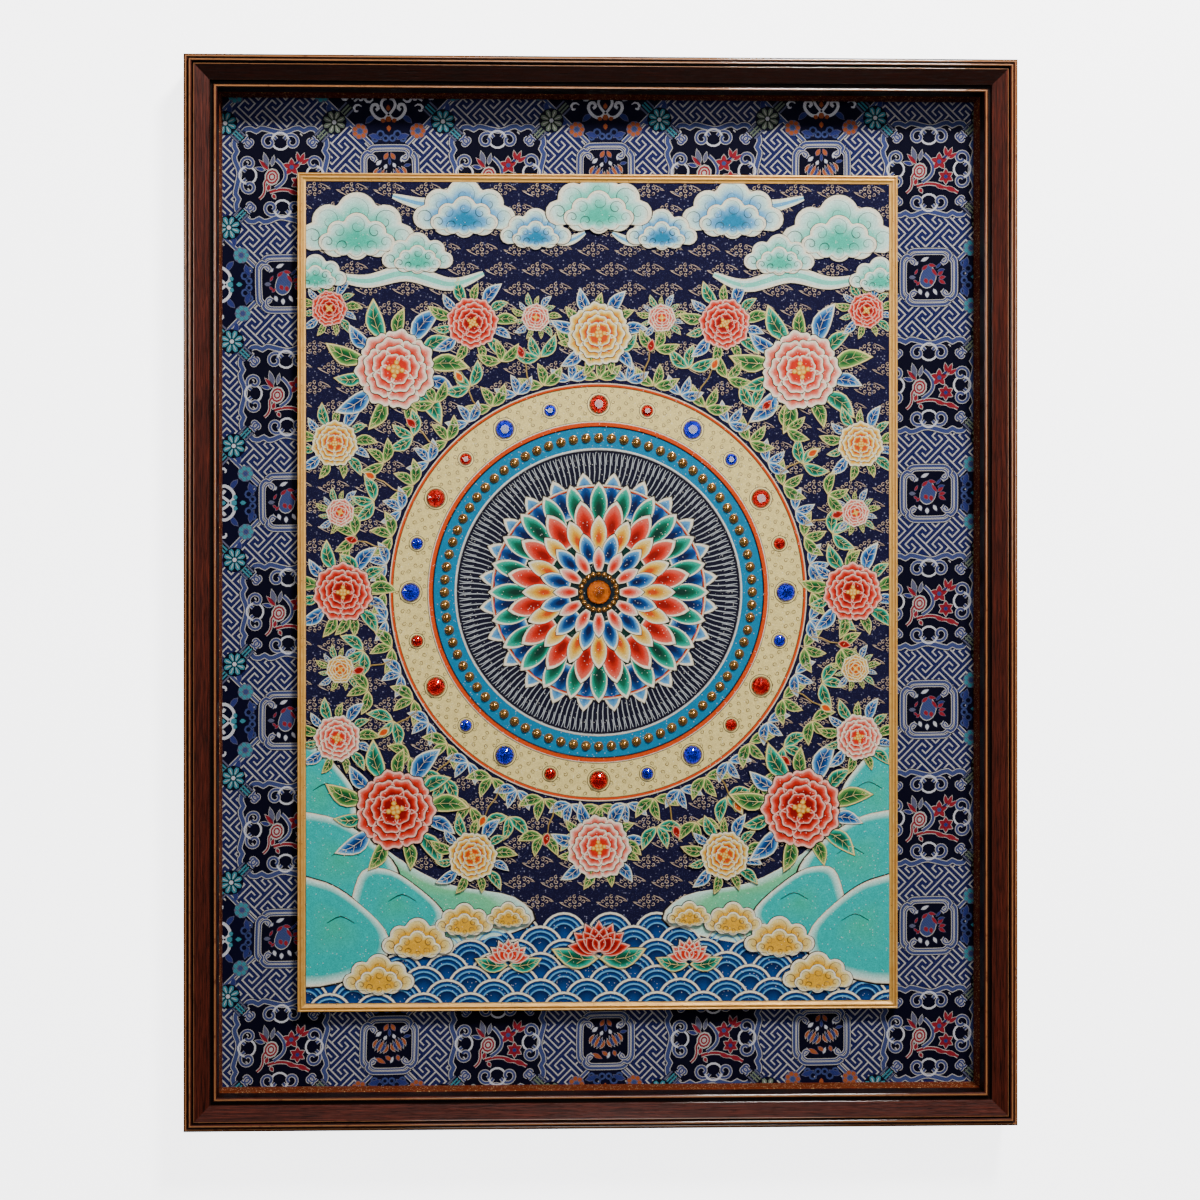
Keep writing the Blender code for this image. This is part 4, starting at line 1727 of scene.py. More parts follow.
# %% [markdown]
# ## Rings of copies
#
# Most of the medallion is one small shape repeated round a circle: rays, beads, petals, curls. One
# tree does them all. The copy is drawn at the middle, pointing up; the tree lifts it by the radius,
# puts an instance for each number on the middle point, turns it by its share of the circle, realises
# the instances and sets the material.

# %% The ring tree
def make_ring_tree():
    tree, given, result = geometry_tree(
        "ring of copies",
        ("Count", WHOLE, 12),
        ("Radius", FLOAT, 0.1),
        ("First turn", FLOAT, 0.0),
        ("Middle", VECTOR),
    )
    lift = point_of(tree, z=given["Radius"])
    copy = shape_node(tree, "Transform", {"Geometry": given["Geometry"], "Translation": lift})
    points = shape_node(tree, "MeshLine", {"Count": given["Count"], "Offset": (0, 0, 0)})
    number = tree.nodes.new("GeometryNodeInputIndex").outputs[0]
    share = sum_of(tree, "DIVIDE", times(tree, number, math.tau), given["Count"])
    turn = point_of(tree, y=plus(tree, share, given["First turn"]))
    ring = shape_node(tree, "InstanceOnPoints", {"Points": points, "Instance": copy, "Rotation": turn})
    real = shape_node(tree, "RealizeInstances", {"Geometry": ring})
    carried = shape_node(tree, "Transform", {"Geometry": real, "Translation": given["Middle"]})
    return end_tree(tree, carried, given, result)


RING_TREE = make_ring_tree()
print("ring tree:", len(RING_TREE.nodes), "nodes")
PICTURE_POINT = tuple(place(PICTURE_ACROSS, MIDDLE_UP, 0))


def ring_of(mesh, count, radius, finish=FILL, first_turn=0.0):
    """The mesh's shape, `count` times round the medallion."""
    values = {
        "Count": count,
        "Radius": radius * MM,
        "First turn": math.radians(first_turn),
        "Middle": PICTURE_POINT,
        "Finish": finish,
    }
    return run_tree(RING_TREE, mesh, values)


# %% [markdown]
# ## The medallion
#
# From the outside in: a cream band with fine curls and the set stones, a turquoise ring of domed
# beads, a dark ring of silver rays, and a lotus rosette with an amber stone at its heart. Under the
# ring stones the band stays low, because they rest three tenths of a millimetre above the cloth.

# %% Medallion bands
MEDALLION = 153.0
STONE_RING = 137.0  # the radius on which the stones' middles lie
BANDS = (
    # radius, rise, paint
    (153.0, 0.10, "line"),
    (152.6, 0.50, "line"),
    (152.2, 0.56, "bone"),
    (151.4, 0.56, "orange"),
    (150.2, 0.50, "orange"),
    (149.8, 0.24, "line"),
    (149.2, 0.22, "cream"),
    (137.0, 0.24, "cream"),
    (125.2, 0.22, "cream"),
    (124.8, 0.24, "line"),
    (124.3, 0.52, "bone"),
    (123.6, 0.54, "orange"),
    (121.4, 0.54, "orange"),
    (120.9, 0.50, "line"),
    (120.4, 0.22, "line"),
    (119.8, 0.20, "turquoise"),
    (112.0, 0.20, "turquoise"),
    (105.2, 0.20, "turquoise"),
    (104.6, 0.44, "bone"),
    (103.8, 0.44, "silver"),
    (103.2, 0.18, "line"),
    (102.4, 0.16, "night"),
    (80.0, 0.16, "night"),
    (78.8, 0.40, "line"),
    (78.0, 0.46, "bone"),
    (77.0, 0.46, "orange"),
    (76.0, 0.42, "line"),
    (75.0, 0.20, "jade"),
    (40.0, 0.20, "deep jade"),
    (0.0, 0.20, "night"),
)


def medallion_ground():
    tray = paint_tray(PICTURE_MIDDLE)
    steps = [(radius / MEDALLION, rise, PAINT[name]) for radius, rise, name in BANDS]
    tray.mound(round_path(0, 0, MEDALLION, steps=144), (0, 0), steps)
    return tray.mesh("medallion ground")


def ray(length, width, bend, paint):
    tray = paint_tray()
    path = [(bend * math.sin(k * math.pi / 3), length * (k / 3 - 0.5)) for k in range(4)]
    tray.ribbon(path, width, 0.34, PAINT[paint], taper=True)
    return tray.mesh("copy")


def curl_copy(radius, start, turn, width, paint, rise, steps=9):
    tray = paint_tray()
    tray.ribbon(curl_path(0, 0, radius, start, turn, steps), width, rise, PAINT[paint], taper=True)
    return tray.mesh("copy")


def lotus_petal(length, width, steps, points=9):
    """A pointed petal that stands on its foot and points up."""
    tray = paint_tray()
    side = []
    for k in range(points + 1):
        t = k / points
        half = width / 2 * math.sin(math.pi * min(1.0, 0.18 + 0.82 * t) ** 1.25) ** 0.75 if t < 1 else 0.0
        side.append((half, length * t))
    outline = side + mirrored(side[-2::-1], -1)
    tray.mound(outline, (0, length * 0.28), steps)
    return tray.mesh("copy")


PETAL_COATS = {
    "coral": ("line", "bone", "pink", "coral", "scarlet"),
    "sea": ("line", "bone", "pale sea", "sea", "deep sea"),
    "jade": ("line", "bone", "mint", "jade", "deep jade"),
    "cream": ("line", "bone", "cream", "yellow", "orange"),
    "blush": ("line", "bone", "blush", "pink", "coral"),
}


def petal_steps(coat, lift, rim=0.9):
    """Line, pale rim, then the petal's own colours towards its heart."""
    line, edge, light, middle, deep = PETAL_COATS[coat]
    return shades(
        (1.0, 0.10, line),
        (rim + 0.06, 0.30, line),
        (rim + 0.02, 0.36, edge),
        (rim - 0.06, 0.36, edge),
        (rim - 0.10, 0.32, light),
        (0.5, 0.40, middle),
        (0.22, 0.36, deep),
        (0.0, 0.34, deep),
        lift=lift,
    )


# %% Medallion rings
RAYS = 150
medallion_parts = [medallion_ground()]
for radius, length, width, bend, first in ((91, 21, 0.75, 0.9, 0.0), (97.5, 9, 0.6, -0.7, 1.2)):
    medallion_parts.append(ring_of(ray(length, width, bend, "silver"), RAYS, radius, FILL, first))
for count, foot, length, width, coat, lift, first in (
    (24, 56, 33, 15, "sea", 0.05, 7.5),
    (24, 50, 32, 13.5, "jade", 0.20, 0.0),
    (16, 38, 31, 15.5, "coral", 0.36, 11.25),
    (16, 31, 26, 12.5, "cream", 0.54, 0.0),
    (12, 21, 24, 12.0, "sea", 0.74, 15.0),
    (12, 15, 19, 9.0, "blush", 0.92, 0.0),
):
    petal = lotus_petal(length, width, petal_steps(coat, lift))
    medallion_parts.append(ring_of(petal, count, foot, FILL, first))
add_piece("painted_medallion", joined_mesh("medallion", medallion_parts), FILL)

# %% Curls on the cream band
CURL_ROWS = (
    # count, radius, size, start, turn, first
    (96, 147.2, 1.9, 90, -430, 0.0),
    (96, 143.4, 1.9, -90, 430, 1.9),
    (90, 139.2, 1.9, 90, 430, 0.4),
    (90, 134.8, 1.9, -90, -430, 2.4),
    (84, 130.8, 1.8, 90, 430, 0.0),
    (84, 126.9, 1.8, -90, -430, 2.1),
)
curl_parts = []
for count, radius, size, start, turn, first in CURL_ROWS:
    curl = curl_copy(size, start, turn, 0.42, "umber", 0.36, 8)
    curl_parts.append(ring_of(curl, count, radius, WIRE, first))
for count, reach, first in ((12, 8.4, 0.0), (12, 5.8, 15.0)):
    for grow, paint, rise in ((0.0, "line", 0.38), (-0.75, "cream", 0.42), (-1.3, "umber", 0.38)):
        collar = paint_tray()
        width = 0.9 if paint == "cream" else 0.45
        collar.ribbon(round_path(0, 0, reach + grow, steps=20), width, rise, PAINT[paint], closed=True)
        curl_parts.append(ring_of(collar.mesh("collar"), count, STONE_RING, WIRE, first))
add_piece("medallion_curls", joined_mesh("curls", curl_parts), WIRE)

# %% [markdown]
# ## Beads
#
# Each bead is a domed bronze ball on a small washer, pressed into the turquoise. A handful of rings is
# enough for the dome, since nearly a hundred of them go round.

# %% Bead mesh and finish
def turned_shape(name, profile, sides, faceted=False):
    """A closed shape turned about Y: profile points are (radius, height, twist in sides), foot first.

    A radius of 0 is a point on the axis, and a row at an end that isn't one is closed by a flat face.
    """
    shape = bmesh.new()
    rows = []
    for radius, height, twist in profile:
        row = []
        for k in range(sides if radius else 1):
            angle = math.tau * (k + twist) / sides
            across, up = radius * MM * math.cos(angle), radius * MM * math.sin(angle)
            row.append(shape.verts.new((across, -height * MM, up)))
        rows.append(row)
    for low, high in zip(rows, rows[1:]):
        for k in range(sides):
            after = (k + 1) % sides
            ring = [low[k % len(low)], low[after % len(low)], high[after % len(high)], high[k % len(high)]]
            shape.faces.new(list(dict.fromkeys(ring)))
    for row in (rows[0], rows[-1]):
        if len(row) > 1:
            shape.faces.new(row)
    if faceted:
        bmesh.ops.triangulate(shape, faces=[f for f in shape.faces if len(f.verts) == 4])
    bmesh.ops.recalc_face_normals(shape, faces=shape.faces)
    mesh = bpy.data.meshes.new(name)
    shape.to_mesh(mesh)
    shape.free()
    return mesh


def make_bead_finish():
    finish = Finish("bronze bead", {"Coat Weight": 0.4, "Coat Roughness": 0.08})
    clouds = finish.pattern(CLOUDS, Size=0.004, Contrast=0.8)["Value"]
    tarnish = finish.pattern(SPECKS, Size=0.0018, Share=0.3)["Specks"]
    bronze = mix_colours(finish.tree, clouds, dye(168, 108, 44), dye(214, 164, 84))
    finish.feed("Base Color", finish.layers(bronze, (tarnish, 0.7, dye(70, 40, 18))))
    finish.feed("Metallic", clouds, 0.95, 0.8)
    finish.feed("Roughness", tarnish, 0.16, 0.5)
    finish.bump(clouds, 0.00015, 0.5)
    return finish.material


def dome_profile(radius, rise, rows=5):
    """A washer on the cloth and a dome on it."""
    low, high = CLOTH_FRONT, CLOTH_FRONT + 0.5
    base = [(0.0, low, 0), (radius + 0.5, low, 0), (radius + 0.5, low + 0.35, 0), (radius, high, 0)]
    turns = [math.pi / 2 * k / rows for k in range(1, rows)]
    dome = [(radius * math.cos(turn), high + rise * math.sin(turn), 0) for turn in turns]
    return base + dome + [(0.0, high + rise, 0)]


BRONZE = make_bead_finish()
BEAD_ANGLE = 40  # degrees: the dome is smooth and the washer's edge sharp
bead_parts = [
    ring_of(turned_shape("bead", dome_profile(3.1, 2.6), 12), 76, 112.4, BRONZE),
    ring_of(turned_shape("small bead", dome_profile(1.5, 1.6, 4), 10), 20, 13.2, BRONZE),
]
add_piece("bronze_beads", joined_mesh("beads", bead_parts), BRONZE, smooth_angle=BEAD_ANGLE)

# %% [markdown]
# ## Set stones
#
# The stones are faceted glass with foil behind them, which is why they look dark at one side and
# flash at the other. Each is two parts: a clear coloured dome, cut in facets, and a foil cup inside
# it that throws the light back. The domes replace the CAD stones one by one.

# %% Stone meshes and finishes
STONE_FOOT = CLOTH_FRONT + 0.3
STONE_COLOURS = {
    # foil, glass
    "red": (dye(250, 26, 8), dye(255, 150, 130)),
    "blue": (dye(20, 48, 250), dye(160, 176, 255)),
    "amber": (dye(255, 150, 24), dye(255, 210, 130)),
}
STONE_PIECES = {
    "red": ("red_stones", "red_foils"),
    "blue": ("blue_stones", "blue_foils"),
    "amber": ("amber_stone_dome", "amber_foil"),
}


def faceted_stone(radius, sides=16):
    """Rim, two rows of facets turned by half a step, and a flat table."""
    rim, height = STONE_FOOT + 0.8, 0.42 * radius
    rows = (
        (radius, STONE_FOOT, 0),
        (radius, rim, 0),
        (0.80 * radius, rim + 0.60 * height, 0.5),
        (0.48 * radius, rim + height, 1),
    )
    return turned_shape("dome", rows, sides, faceted=True)


def foil_cup(radius, sides=11):
    """A closed faceted cone under the dome, its point up, a little off the wall."""
    rows = (
        (0.0, 0.08),
        (0.9 * radius, 0.08),
        (0.86 * radius, 0.25),
        (0.45 * radius, 0.9),
        (0.0, 0.28 * radius + 0.5),
    )
    return turned_shape("cup", [(reach, STONE_FOOT + rise, 0) for reach, rise in rows], sides)


def make_glass_finish(name, colour):
    plain = {"Base Color": colour, "Roughness": 0.02, "IOR": 1.6, "Transmission Weight": 1.0}
    finish = Finish(f"{name} glass", plain)
    finish.feed("Roughness", finish.pattern(CLOUDS, Size=0.002, Contrast=0.8)["Value"], 0.015, 0.06)
    return finish.material


def make_foil_finish(name, colour):
    finish = Finish(f"{name} foil", {"Metallic": 0.45, "Roughness": 0.2})
    crumple = finish.pattern(CLOUDS, Size=0.0025, Contrast=0.7)["Value"]
    deep = mix_colours(finish.tree, 1.0, colour, dye(150, 150, 150), "MULTIPLY")
    finish.feed("Base Color", mix_colours(finish.tree, crumple, deep, colour))
    finish.feed("Roughness", crumple, 0.14, 0.3)
    finish.bump(crumple, 0.0004, 0.7)
    return finish.material


RING_STONES = 12


def stone_places():
    """(CAD node, colour, radius, ring, clockwise turn from the top in degrees) of every stone."""
    sizes = (("large", 6.7, 0, ("red", "blue")), ("small", 4.2, -15, ("blue", "red")))
    for index in range(RING_STONES):
        for size, radius, first, pair in sizes:
            turn = first - index * 360 / RING_STONES
            yield f"stone_{size}_{index + 1:02d}", pair[index % 2], radius, STONE_RING, turn
    yield "stone_centre", "amber", 9.0, 0.0, 0.0


for colour, (foil_colour, glass_colour) in STONE_COLOURS.items():
    glass, foil = make_glass_finish(colour, glass_colour), make_foil_finish(colour, foil_colour)
    nodes, domes, cups = [], [], []
    for node, stone_colour, radius, ring, turn in stone_places():
        if stone_colour == colour:
            nodes.append(node)
            domes.append(ring_of(faceted_stone(radius), 1, ring, glass, turn))
            cups.append(ring_of(foil_cup(radius), 1, ring, foil, turn))
    dome_name, foil_name = STONE_PIECES[colour]
    add_piece(dome_name, joined_mesh("domes", domes), glass, nodes)
    add_piece(foil_name, joined_mesh("cups", cups), foil)

# %% [markdown]
# ## Wires
#
# The maker squeezes or bends thin gilt wire along each drawn line. Here a line is a chain of edges
# with a width and a colour at each point; the tree turns chains into curves and runs a small section
# along them, thinner at the ends, so a few hundred lines cost a handful of points each.

# %% The wire tree
def make_wire_tree():
    tree, given, result = geometry_tree("wires along lines", ("Sides", WHOLE, 4))
    values = {
        "Curve": shape_node(tree, "MeshToCurve", {0: given["Geometry"]}),
        "Profile Curve": shape_node(
            tree, "CurvePrimitiveCircle", {"Resolution": given["Sides"], "Radius": 1.0}, mode="RADIUS"
        ),
        "Scale": read_named(tree, "reach"),
        "Fill Caps": True,
    }
    return end_tree(tree, shape_node(tree, "CurveToMesh", values), given, result)


WIRE_TREE = make_wire_tree()
print("wire tree:", len(WIRE_TREE.nodes), "nodes")


class Wires:
    """Lines on the painted cloth, from a middle of their own."""

    def __init__(self, middle=(0.0, 0.0)):
        self.middle, self.points, self.edges, self.reach, self.tints = middle, [], [], [], []

    def line(self, path, width, rise, paint, taper=True):
        first, count = len(self.points), len(path)
        for index, (across, up) in enumerate(path):
            thin = 0.35 + 0.65 * math.sin(math.pi * (index + 0.5) / count) if taper else 1.0
            self.points.append(place(self.middle[0] + across, self.middle[1] + up, CLOTH_FRONT + rise))
            self.reach.append(width / 2 * thin * MM)
            self.tints.append(PAINT[paint])
        self.edges += [(first + k, first + k + 1) for k in range(count - 1)]

    def mesh(self, name, sides=4):
        mesh = bpy.data.meshes.new(name)
        mesh.from_pydata(self.points, self.edges, [])
        put_values(
            mesh,
            reach=("FLOAT", "value", self.reach),
            tint=("FLOAT_COLOR", "color", [v for tint in self.tints for v in tint]),
        )
        return run_tree(WIRE_TREE, mesh, {"Sides": sides, "Finish": WIRE})


# %% [markdown]
# ## Staggered copies
#
# The cloud knots behind everything and the rows of waves are both one shape repeated in staggered
# rows. The tree counts its points, works out the row and column of each from its number, drops those
# that fall inside the medallion, lifts each row above the last and realises the copies.

# %% The staggered tree
def make_rows_tree():
    tree, given, result = geometry_tree(
        "staggered rows",
        ("Columns", WHOLE, 10),
        ("Rows", WHOLE, 10),
        ("Step across", FLOAT, 0.02),
        ("Step up", FLOAT, 0.01),
        ("Lift", FLOAT, 0.0),
        ("Keep out", FLOAT, 0.0),
        ("First", VECTOR),
        ("Middle", VECTOR),
    )
    total = times(tree, given["Columns"], given["Rows"])
    points = shape_node(tree, "MeshLine", {"Count": total, "Offset": (0, 0, 0)})
    number = tree.nodes.new("GeometryNodeInputIndex").outputs[0]
    row = sum_of(tree, "FLOOR", sum_of(tree, "DIVIDE", plus(tree, number, 0.5), given["Columns"]))
    column = minus(tree, number, times(tree, row, given["Columns"]))
    shifted = plus(tree, column, times(tree, sum_of(tree, "MODULO", row, 2.0), 0.5))
    across = times(tree, shifted, given["Step across"])
    out = times(tree, times(tree, row, given["Lift"]), -1.0)
    offset = point_of(tree, across, out, times(tree, row, given["Step up"]))
    values = {0: offset, 1: given["First"]}
    where = add_node(tree, "ShaderNodeVectorMath", values, operation="ADD").outputs[0]
    values = {0: where, 1: given["Middle"]}
    away = add_node(tree, "ShaderNodeVectorMath", values, operation="DISTANCE").outputs[1]
    placed = shape_node(tree, "SetPosition", {"Geometry": points, "Position": where})
    values = {0: away, 1: given["Keep out"]}
    inside = add_node(tree, "FunctionNodeCompare", values, operation="LESS_THAN").outputs[0]
    kept = shape_node(tree, "DeleteGeometry", {"Geometry": placed, "Selection": inside})
    copies = shape_node(tree, "InstanceOnPoints", {"Points": kept, "Instance": given["Geometry"]})
    return end_tree(tree, copies, given, result)


ROWS_TREE = make_rows_tree()
print("rows tree:", len(ROWS_TREE.nodes), "nodes")


def rows_of(mesh, columns, rows, step_across, step_up, first, lift=0.0, keep_out=0.0, finish=FILL):
    across, up = PICTURE_ACROSS + first[0], MIDDLE_UP + first[1]
    values = {
        "Columns": columns,
        "Rows": rows,
        "Step across": step_across * MM,
        "Step up": step_up * MM,
        "Lift": lift * MM,
        "Keep out": keep_out * MM,
        "First": tuple(place(across, up, 0)),
        "Middle": PICTURE_POINT,
        "Finish": finish,
    }
    return run_tree(ROWS_TREE, mesh, values)


# %% Cloud knots
KNOT_CURLS = (
    # across, up, radius, start, turn
    (-6.4, 0.0, 1.5, 0, 330),
    (-3.5, 2.0, 1.6, 40, 350),
    (-3.3, -1.9, 1.5, -30, -340),
    (-0.2, 3.7, 1.5, 60, 350),
    (0.2, -3.5, 1.4, -60, -350),
    (0.0, 0.1, 1.9, 90, 400),
    (3.5, 2.0, 1.6, 140, -350),
    (3.3, -1.9, 1.5, 210, 340),
    (6.4, 0.0, 1.5, 180, -330),
)
KNOT_TAILS = (
    ((-3.4, -4.4), (-7.6, -2.6), (-11.4, -0.2), (-8.0, -1.0)),
    ((3.4, 4.4), (7.6, 2.8), (11.4, 0.2), (8.0, 1.0)),
)
KNOT_ACROSS, KNOT_UP = 27.0, 14.4


def cloud_knot():
    wires = Wires()
    for across, up, radius, start, turn in KNOT_CURLS:
        wires.line(curl_path(across, up, radius, start, turn, 7, 0.35), 0.68, 0.18, "tan")
    for tail in KNOT_TAILS:
        wires.line(smooth_path(tail, 2), 0.66, 0.16, "tan")
    return wires.mesh("cloud knot", 3)


KNOT_COLUMNS, KNOT_ROWS = 18, 37
FIRST_KNOT = (-233.5, -225.6)  # just above the waves
KNOT_FREE = 162.0  # no knots in this circle round the medallion's middle
size = (KNOT_COLUMNS, KNOT_ROWS, KNOT_ACROSS, KNOT_UP)
knots = rows_of(cloud_knot(), *size, FIRST_KNOT, 0.0, KNOT_FREE, WIRE)
print("cloud knots:", len(knots.polygons), "faces")

# %% [markdown]
# ## Flowers and leaves
#
# A peony is rings of lobed petals, the outer ones lowest, each with a dark line, a pale rim and a
# colour that deepens to its foot. The leaves are pointed, with a cream edge and a vein of wire.

# %% Peonies, leaves and buds
PEONY_COATS = {
    "pink": ("bone", "blush", "pink", "coral"),
    "coral": ("blush", "pink", "coral", "scarlet"),
    "yellow": ("bone", "cream", "yellow", "orange"),
}
PEONY_RINGS = (
    # petals, length share, half angle, lift, first turn
    (7, 1.00, 34, 0.0, 0),
    (6, 0.80, 39, 0.3, 24),
    (5, 0.60, 46, 0.6, 0),
    (4, 0.40, 56, 0.9, 40),
)


def fan_petal(length, half_angle, lobes=3, steps=14):
    """A petal from its foot at the origin, opening upwards to a lobed edge."""
    outline = [(0.0, 0.0)]
    for k in range(steps + 1):
        t = 2 * k / steps - 1
        reach = length * (1 - 0.26 * abs(t) ** 3 - 0.045 * (1 - math.cos(math.tau * lobes * t / 2)))
        angle = math.radians(90 - half_angle * t)
        outline.append((reach * math.cos(angle), reach * math.sin(angle)))
    return outline


def petal_shades(coat, lift):
    rim, light, middle, deep = coat
    return shades(
        (1.0, 0.10, "line"),
        (0.97, 0.28, "line"),
        (0.95, 0.36, rim),
        (0.91, 0.38, rim),
        (0.85, 0.34, light),
        (0.74, 0.34, middle),
        (0.56, 0.28, deep),
        (0.0, 0.24, deep),
        lift=lift,
    )


def peony(tray, across, up, radius, coat, turn=0.0, lift=0.7):
    colours = PEONY_COATS[coat]
    for petals, share, half_angle, rise, first in PEONY_RINGS:
        for k in range(petals):
            where = (across, up, turn + first + 360 * k / petals)
            petal, heart = fan_petal(radius * share, half_angle), (0, radius * share * 0.3)
            lay(tray, petal, heart, petal_shades(colours, lift + rise), *where)
    for k in range(8):
        spot = moved([(0, radius * (0.07 if k % 2 else 0.16))], across, up, turn + 45 * k)[0]
        grain = shades((1.0, 0.3, "orange"), (0.7, 0.5, "yellow"), (0.0, 0.6, "cream"), lift=lift + 0.95)
        tray.mound(round_path(*spot, radius * 0.06 + 0.3, steps=6), spot, grain)


LEAF_COATS = {
    "green": ("cream", "pale leaf", "leaf", "deep jade"),
    "blue": ("bone", "pale sea", "sea", "deep sea"),
    "jade": ("cream", "mint", "jade", "deep jade"),
}


def leaf(tray, wires, across, up, turn, length, coat="green", bend=0.12, lift=0.1):
    edge, light, middle, deep = LEAF_COATS[coat]
    outline = leaf_path(length, length * 0.42, bend * length, 6)
    coats = shades(
        (1.0, 0.08, "line"),
        (0.95, 0.24, edge),
        (0.88, 0.26, edge),
        (0.82, 0.22, light),
        (0.5, 0.26, middle),
        (0.0, 0.24, deep),
        lift=lift,
    )
    lay(tray, outline, (length * 0.45, bend * length), coats, across, up, turn)
    veins = [[(length * t, bend * length * math.sin(math.pi * t)) for t in (0.02, 0.3, 0.6, 0.92)]]
    for t in (0.3, 0.52, 0.72):
        foot = (length * t, bend * length * math.sin(math.pi * t))
        for side in (1, -1):
            rise = side * length * 0.13 * math.sin(math.pi * t)
            veins.append([foot, (foot[0] + length * 0.12, foot[1] + rise)])
    for vein in veins:
        wires.line(moved(vein, across, up, turn), 0.45, lift + 0.28, "cream" if coat != "blue" else "bone")


def bud(tray, across, up, turn, size, coat="coral", lift=0.3):
    """Two green sepals and a closed flower between them."""
    sepal, sepal_coats = leaf_path(size * 1.1, size * 0.5, 0, 5), petal_shades(LEAF_COATS["green"], lift)
    for tilt in (-24, 24):
        lay(tray, sepal, (size * 0.5, 0), sepal_coats, across, up, turn + tilt)
    flower = leaf_path(size * 1.35, size * 0.75, 0, 6)
    lay(tray, flower, (size * 0.6, 0), petal_shades(PEONY_COATS[coat], lift + 0.25), across, up, turn)


# %% Garland round the medallion
garland_fill, garland_wire = [], []
for count, foot, length, tilts, coat, first in (
    (24, 155.5, 20.0, (-58, 0, 58), "green", 0.0),
    (24, 155.5, 18.0, (-52, 4, 60), "blue", 7.5),
    (20, 176.0, 21.0, (-66, -10, 46), "jade", 4.0),
    (20, 182.0, 19.0, (-50, 8, 66), "green", 13.0),
):
    tray, wires = paint_tray(), Wires()
    for k, tilt in enumerate(tilts):
        bend = 0.1 if tilt < 0 else -0.1
        lift = 0.1 + 0.02 * (foot - 155) + 0.05 * k
        leaf(tray, wires, 0, 0, 90 - tilt, length * (1 - 0.12 * (k % 2)), coat, bend, lift)
    garland_fill.append(ring_of(tray.mesh("leaves"), count, foot, FILL, first))
    garland_wire.append(ring_of(wires.mesh("veins", 3), count, foot, WIRE, first))
for count, coat, length, first in ((12, "coral", 22.0, 12.0), (12, "yellow", 25.0, 27.0)):
    tray, wires = paint_tray(), Wires()
    wires.line([(0, 0), (-1.2, length * 0.4), (0.6, length * 0.75), (0, length)], 1.1, 0.5, "buff")
    bud(tray, 0, length, 90, 7.5, coat, 0.5)
    garland_fill.append(ring_of(tray.mesh("buds"), count, 157.0, FILL, first))
    garland_wire.append(ring_of(wires.mesh("stalks", 4), count, 157.0, WIRE, first))

# %% Flower sprays
FLOWERS = (
    # across, up, radius, coat, turn; each also stands mirrored on the other side
    (148.0, 162.0, 31.0, "pink", 10),
    (148.0, -158.0, 31.0, "coral", -12),
    (92.0, 196.0, 20.0, "coral", 30),
    (92.0, -192.0, 19.0, "yellow", -20),
    (192.0, 108.0, 18.0, "yellow", 0),
    (190.0, -106.0, 18.0, "pink", 15),
    (186.0, 0.0, 23.0, "coral", 0),
    (196.0, 206.0, 14.0, "coral", 40),
    (188.0, 58.0, 11.0, "pink", 20),
    (188.0, -56.0, 11.0, "yellow", 50),
    (46.0, 200.0, 11.0, "pink", 5),
)
SPRAY_LEAVES = (
    # turn, length share
    (-72, 0.8),
    (-46, 1.05),
    (-18, 0.85),
    (6, 1.1),
    (34, 0.85),
    (58, 1.15),
    (86, 0.8),
    (112, 1.1),
    (140, 0.85),
    (164, 1.1),
    (192, 0.8),
    (220, 1.1),
    (250, 0.9),
)
flower_tray, spray_wires = paint_tray(PICTURE_MIDDLE), Wires(PICTURE_MIDDLE)
for side in (1, -1):
    for across, up, radius, coat, turn in FLOWERS:
        for k, (angle, reach) in enumerate(SPRAY_LEAVES):
            foot = moved([(radius * 0.72, 0)], side * across, up, angle)[0]
            kind = ("green", "jade", "blue")[k % 3]
            layer = 0.3 + 0.03 * k + (1.2 if up < -100 else 0.0)
            leaf(flower_tray, spray_wires, *foot, angle + 8 * side, radius * reach * 0.95, kind, 0.1, layer)
        peony(flower_tray, side * across, up, radius, coat, side * turn, 1.9 if up < -100 else 0.7)
for up in (188.0, -186.0):
    for k, (angle, reach) in enumerate(SPRAY_LEAVES):
        foot = moved([(15.0, 0)], 0, up, angle)[0]
        kind = ("green", "blue")[k % 2]
        leaf(flower_tray, spray_wires, *foot, angle, 20 * reach, kind, 0.1, 0.3 + 0.04 * k)
    peony(flower_tray, 0, up, 25.0, "yellow" if up > 0 else "pink", 8)

# %% [markdown]
# ## Clouds, hills and waves
#
# Clouds are overlapping lobes, each white at its rim and turquoise at its heart, with dark green
# curls. The hills are smooth turquoise humps with a pale rim. The waves are rows of scallops, each a
# few rings of blue and cream, the lower rows overlapping the upper ones.

# %% Cloud banks
CLOUD_COATS = {
    "mint": ("bone", "foam", "pale mint", "mint"),
    "sky": ("bone", "foam", "pale sea", "turquoise"),
    "gold": ("bone", "cream", "yellow", "yellow"),
}
CLOUD_LOBES = (
    # across, up, radius, where its curl starts, turn of the curl
    (-25.0, -3.0, 8.0, 200, -400),
    (-16.0, 6.0, 9.5, 150, -420),
    (0.0, 11.0, 11.5, 110, -440),
    (16.0, 6.0, 9.5, 30, 420),
    (25.0, -3.0, 8.0, -20, 400),
    (12.0, -6.0, 8.5, -60, 380),
    (-12.0, -6.0, 8.5, 240, -380),
    (0.0, -9.0, 7.0, 250, 400),
)


def lobed_outline(lobes, steps=64):
    """The outside of overlapping round lobes, seen from the middle."""
    outline = []
    for k in range(steps):
        angle = math.tau * k / steps
        ahead = Vector((math.cos(angle), math.sin(angle)))
        reach = 1.0
        for x, y, radius in lobes:
            run = ahead.x * x + ahead.y * y
            inside = run * run - (x * x + y * y - radius * radius)
            if inside >= 0:
                reach = max(reach, run + math.sqrt(inside))
        outline.append(tuple(ahead * reach))
    return outline


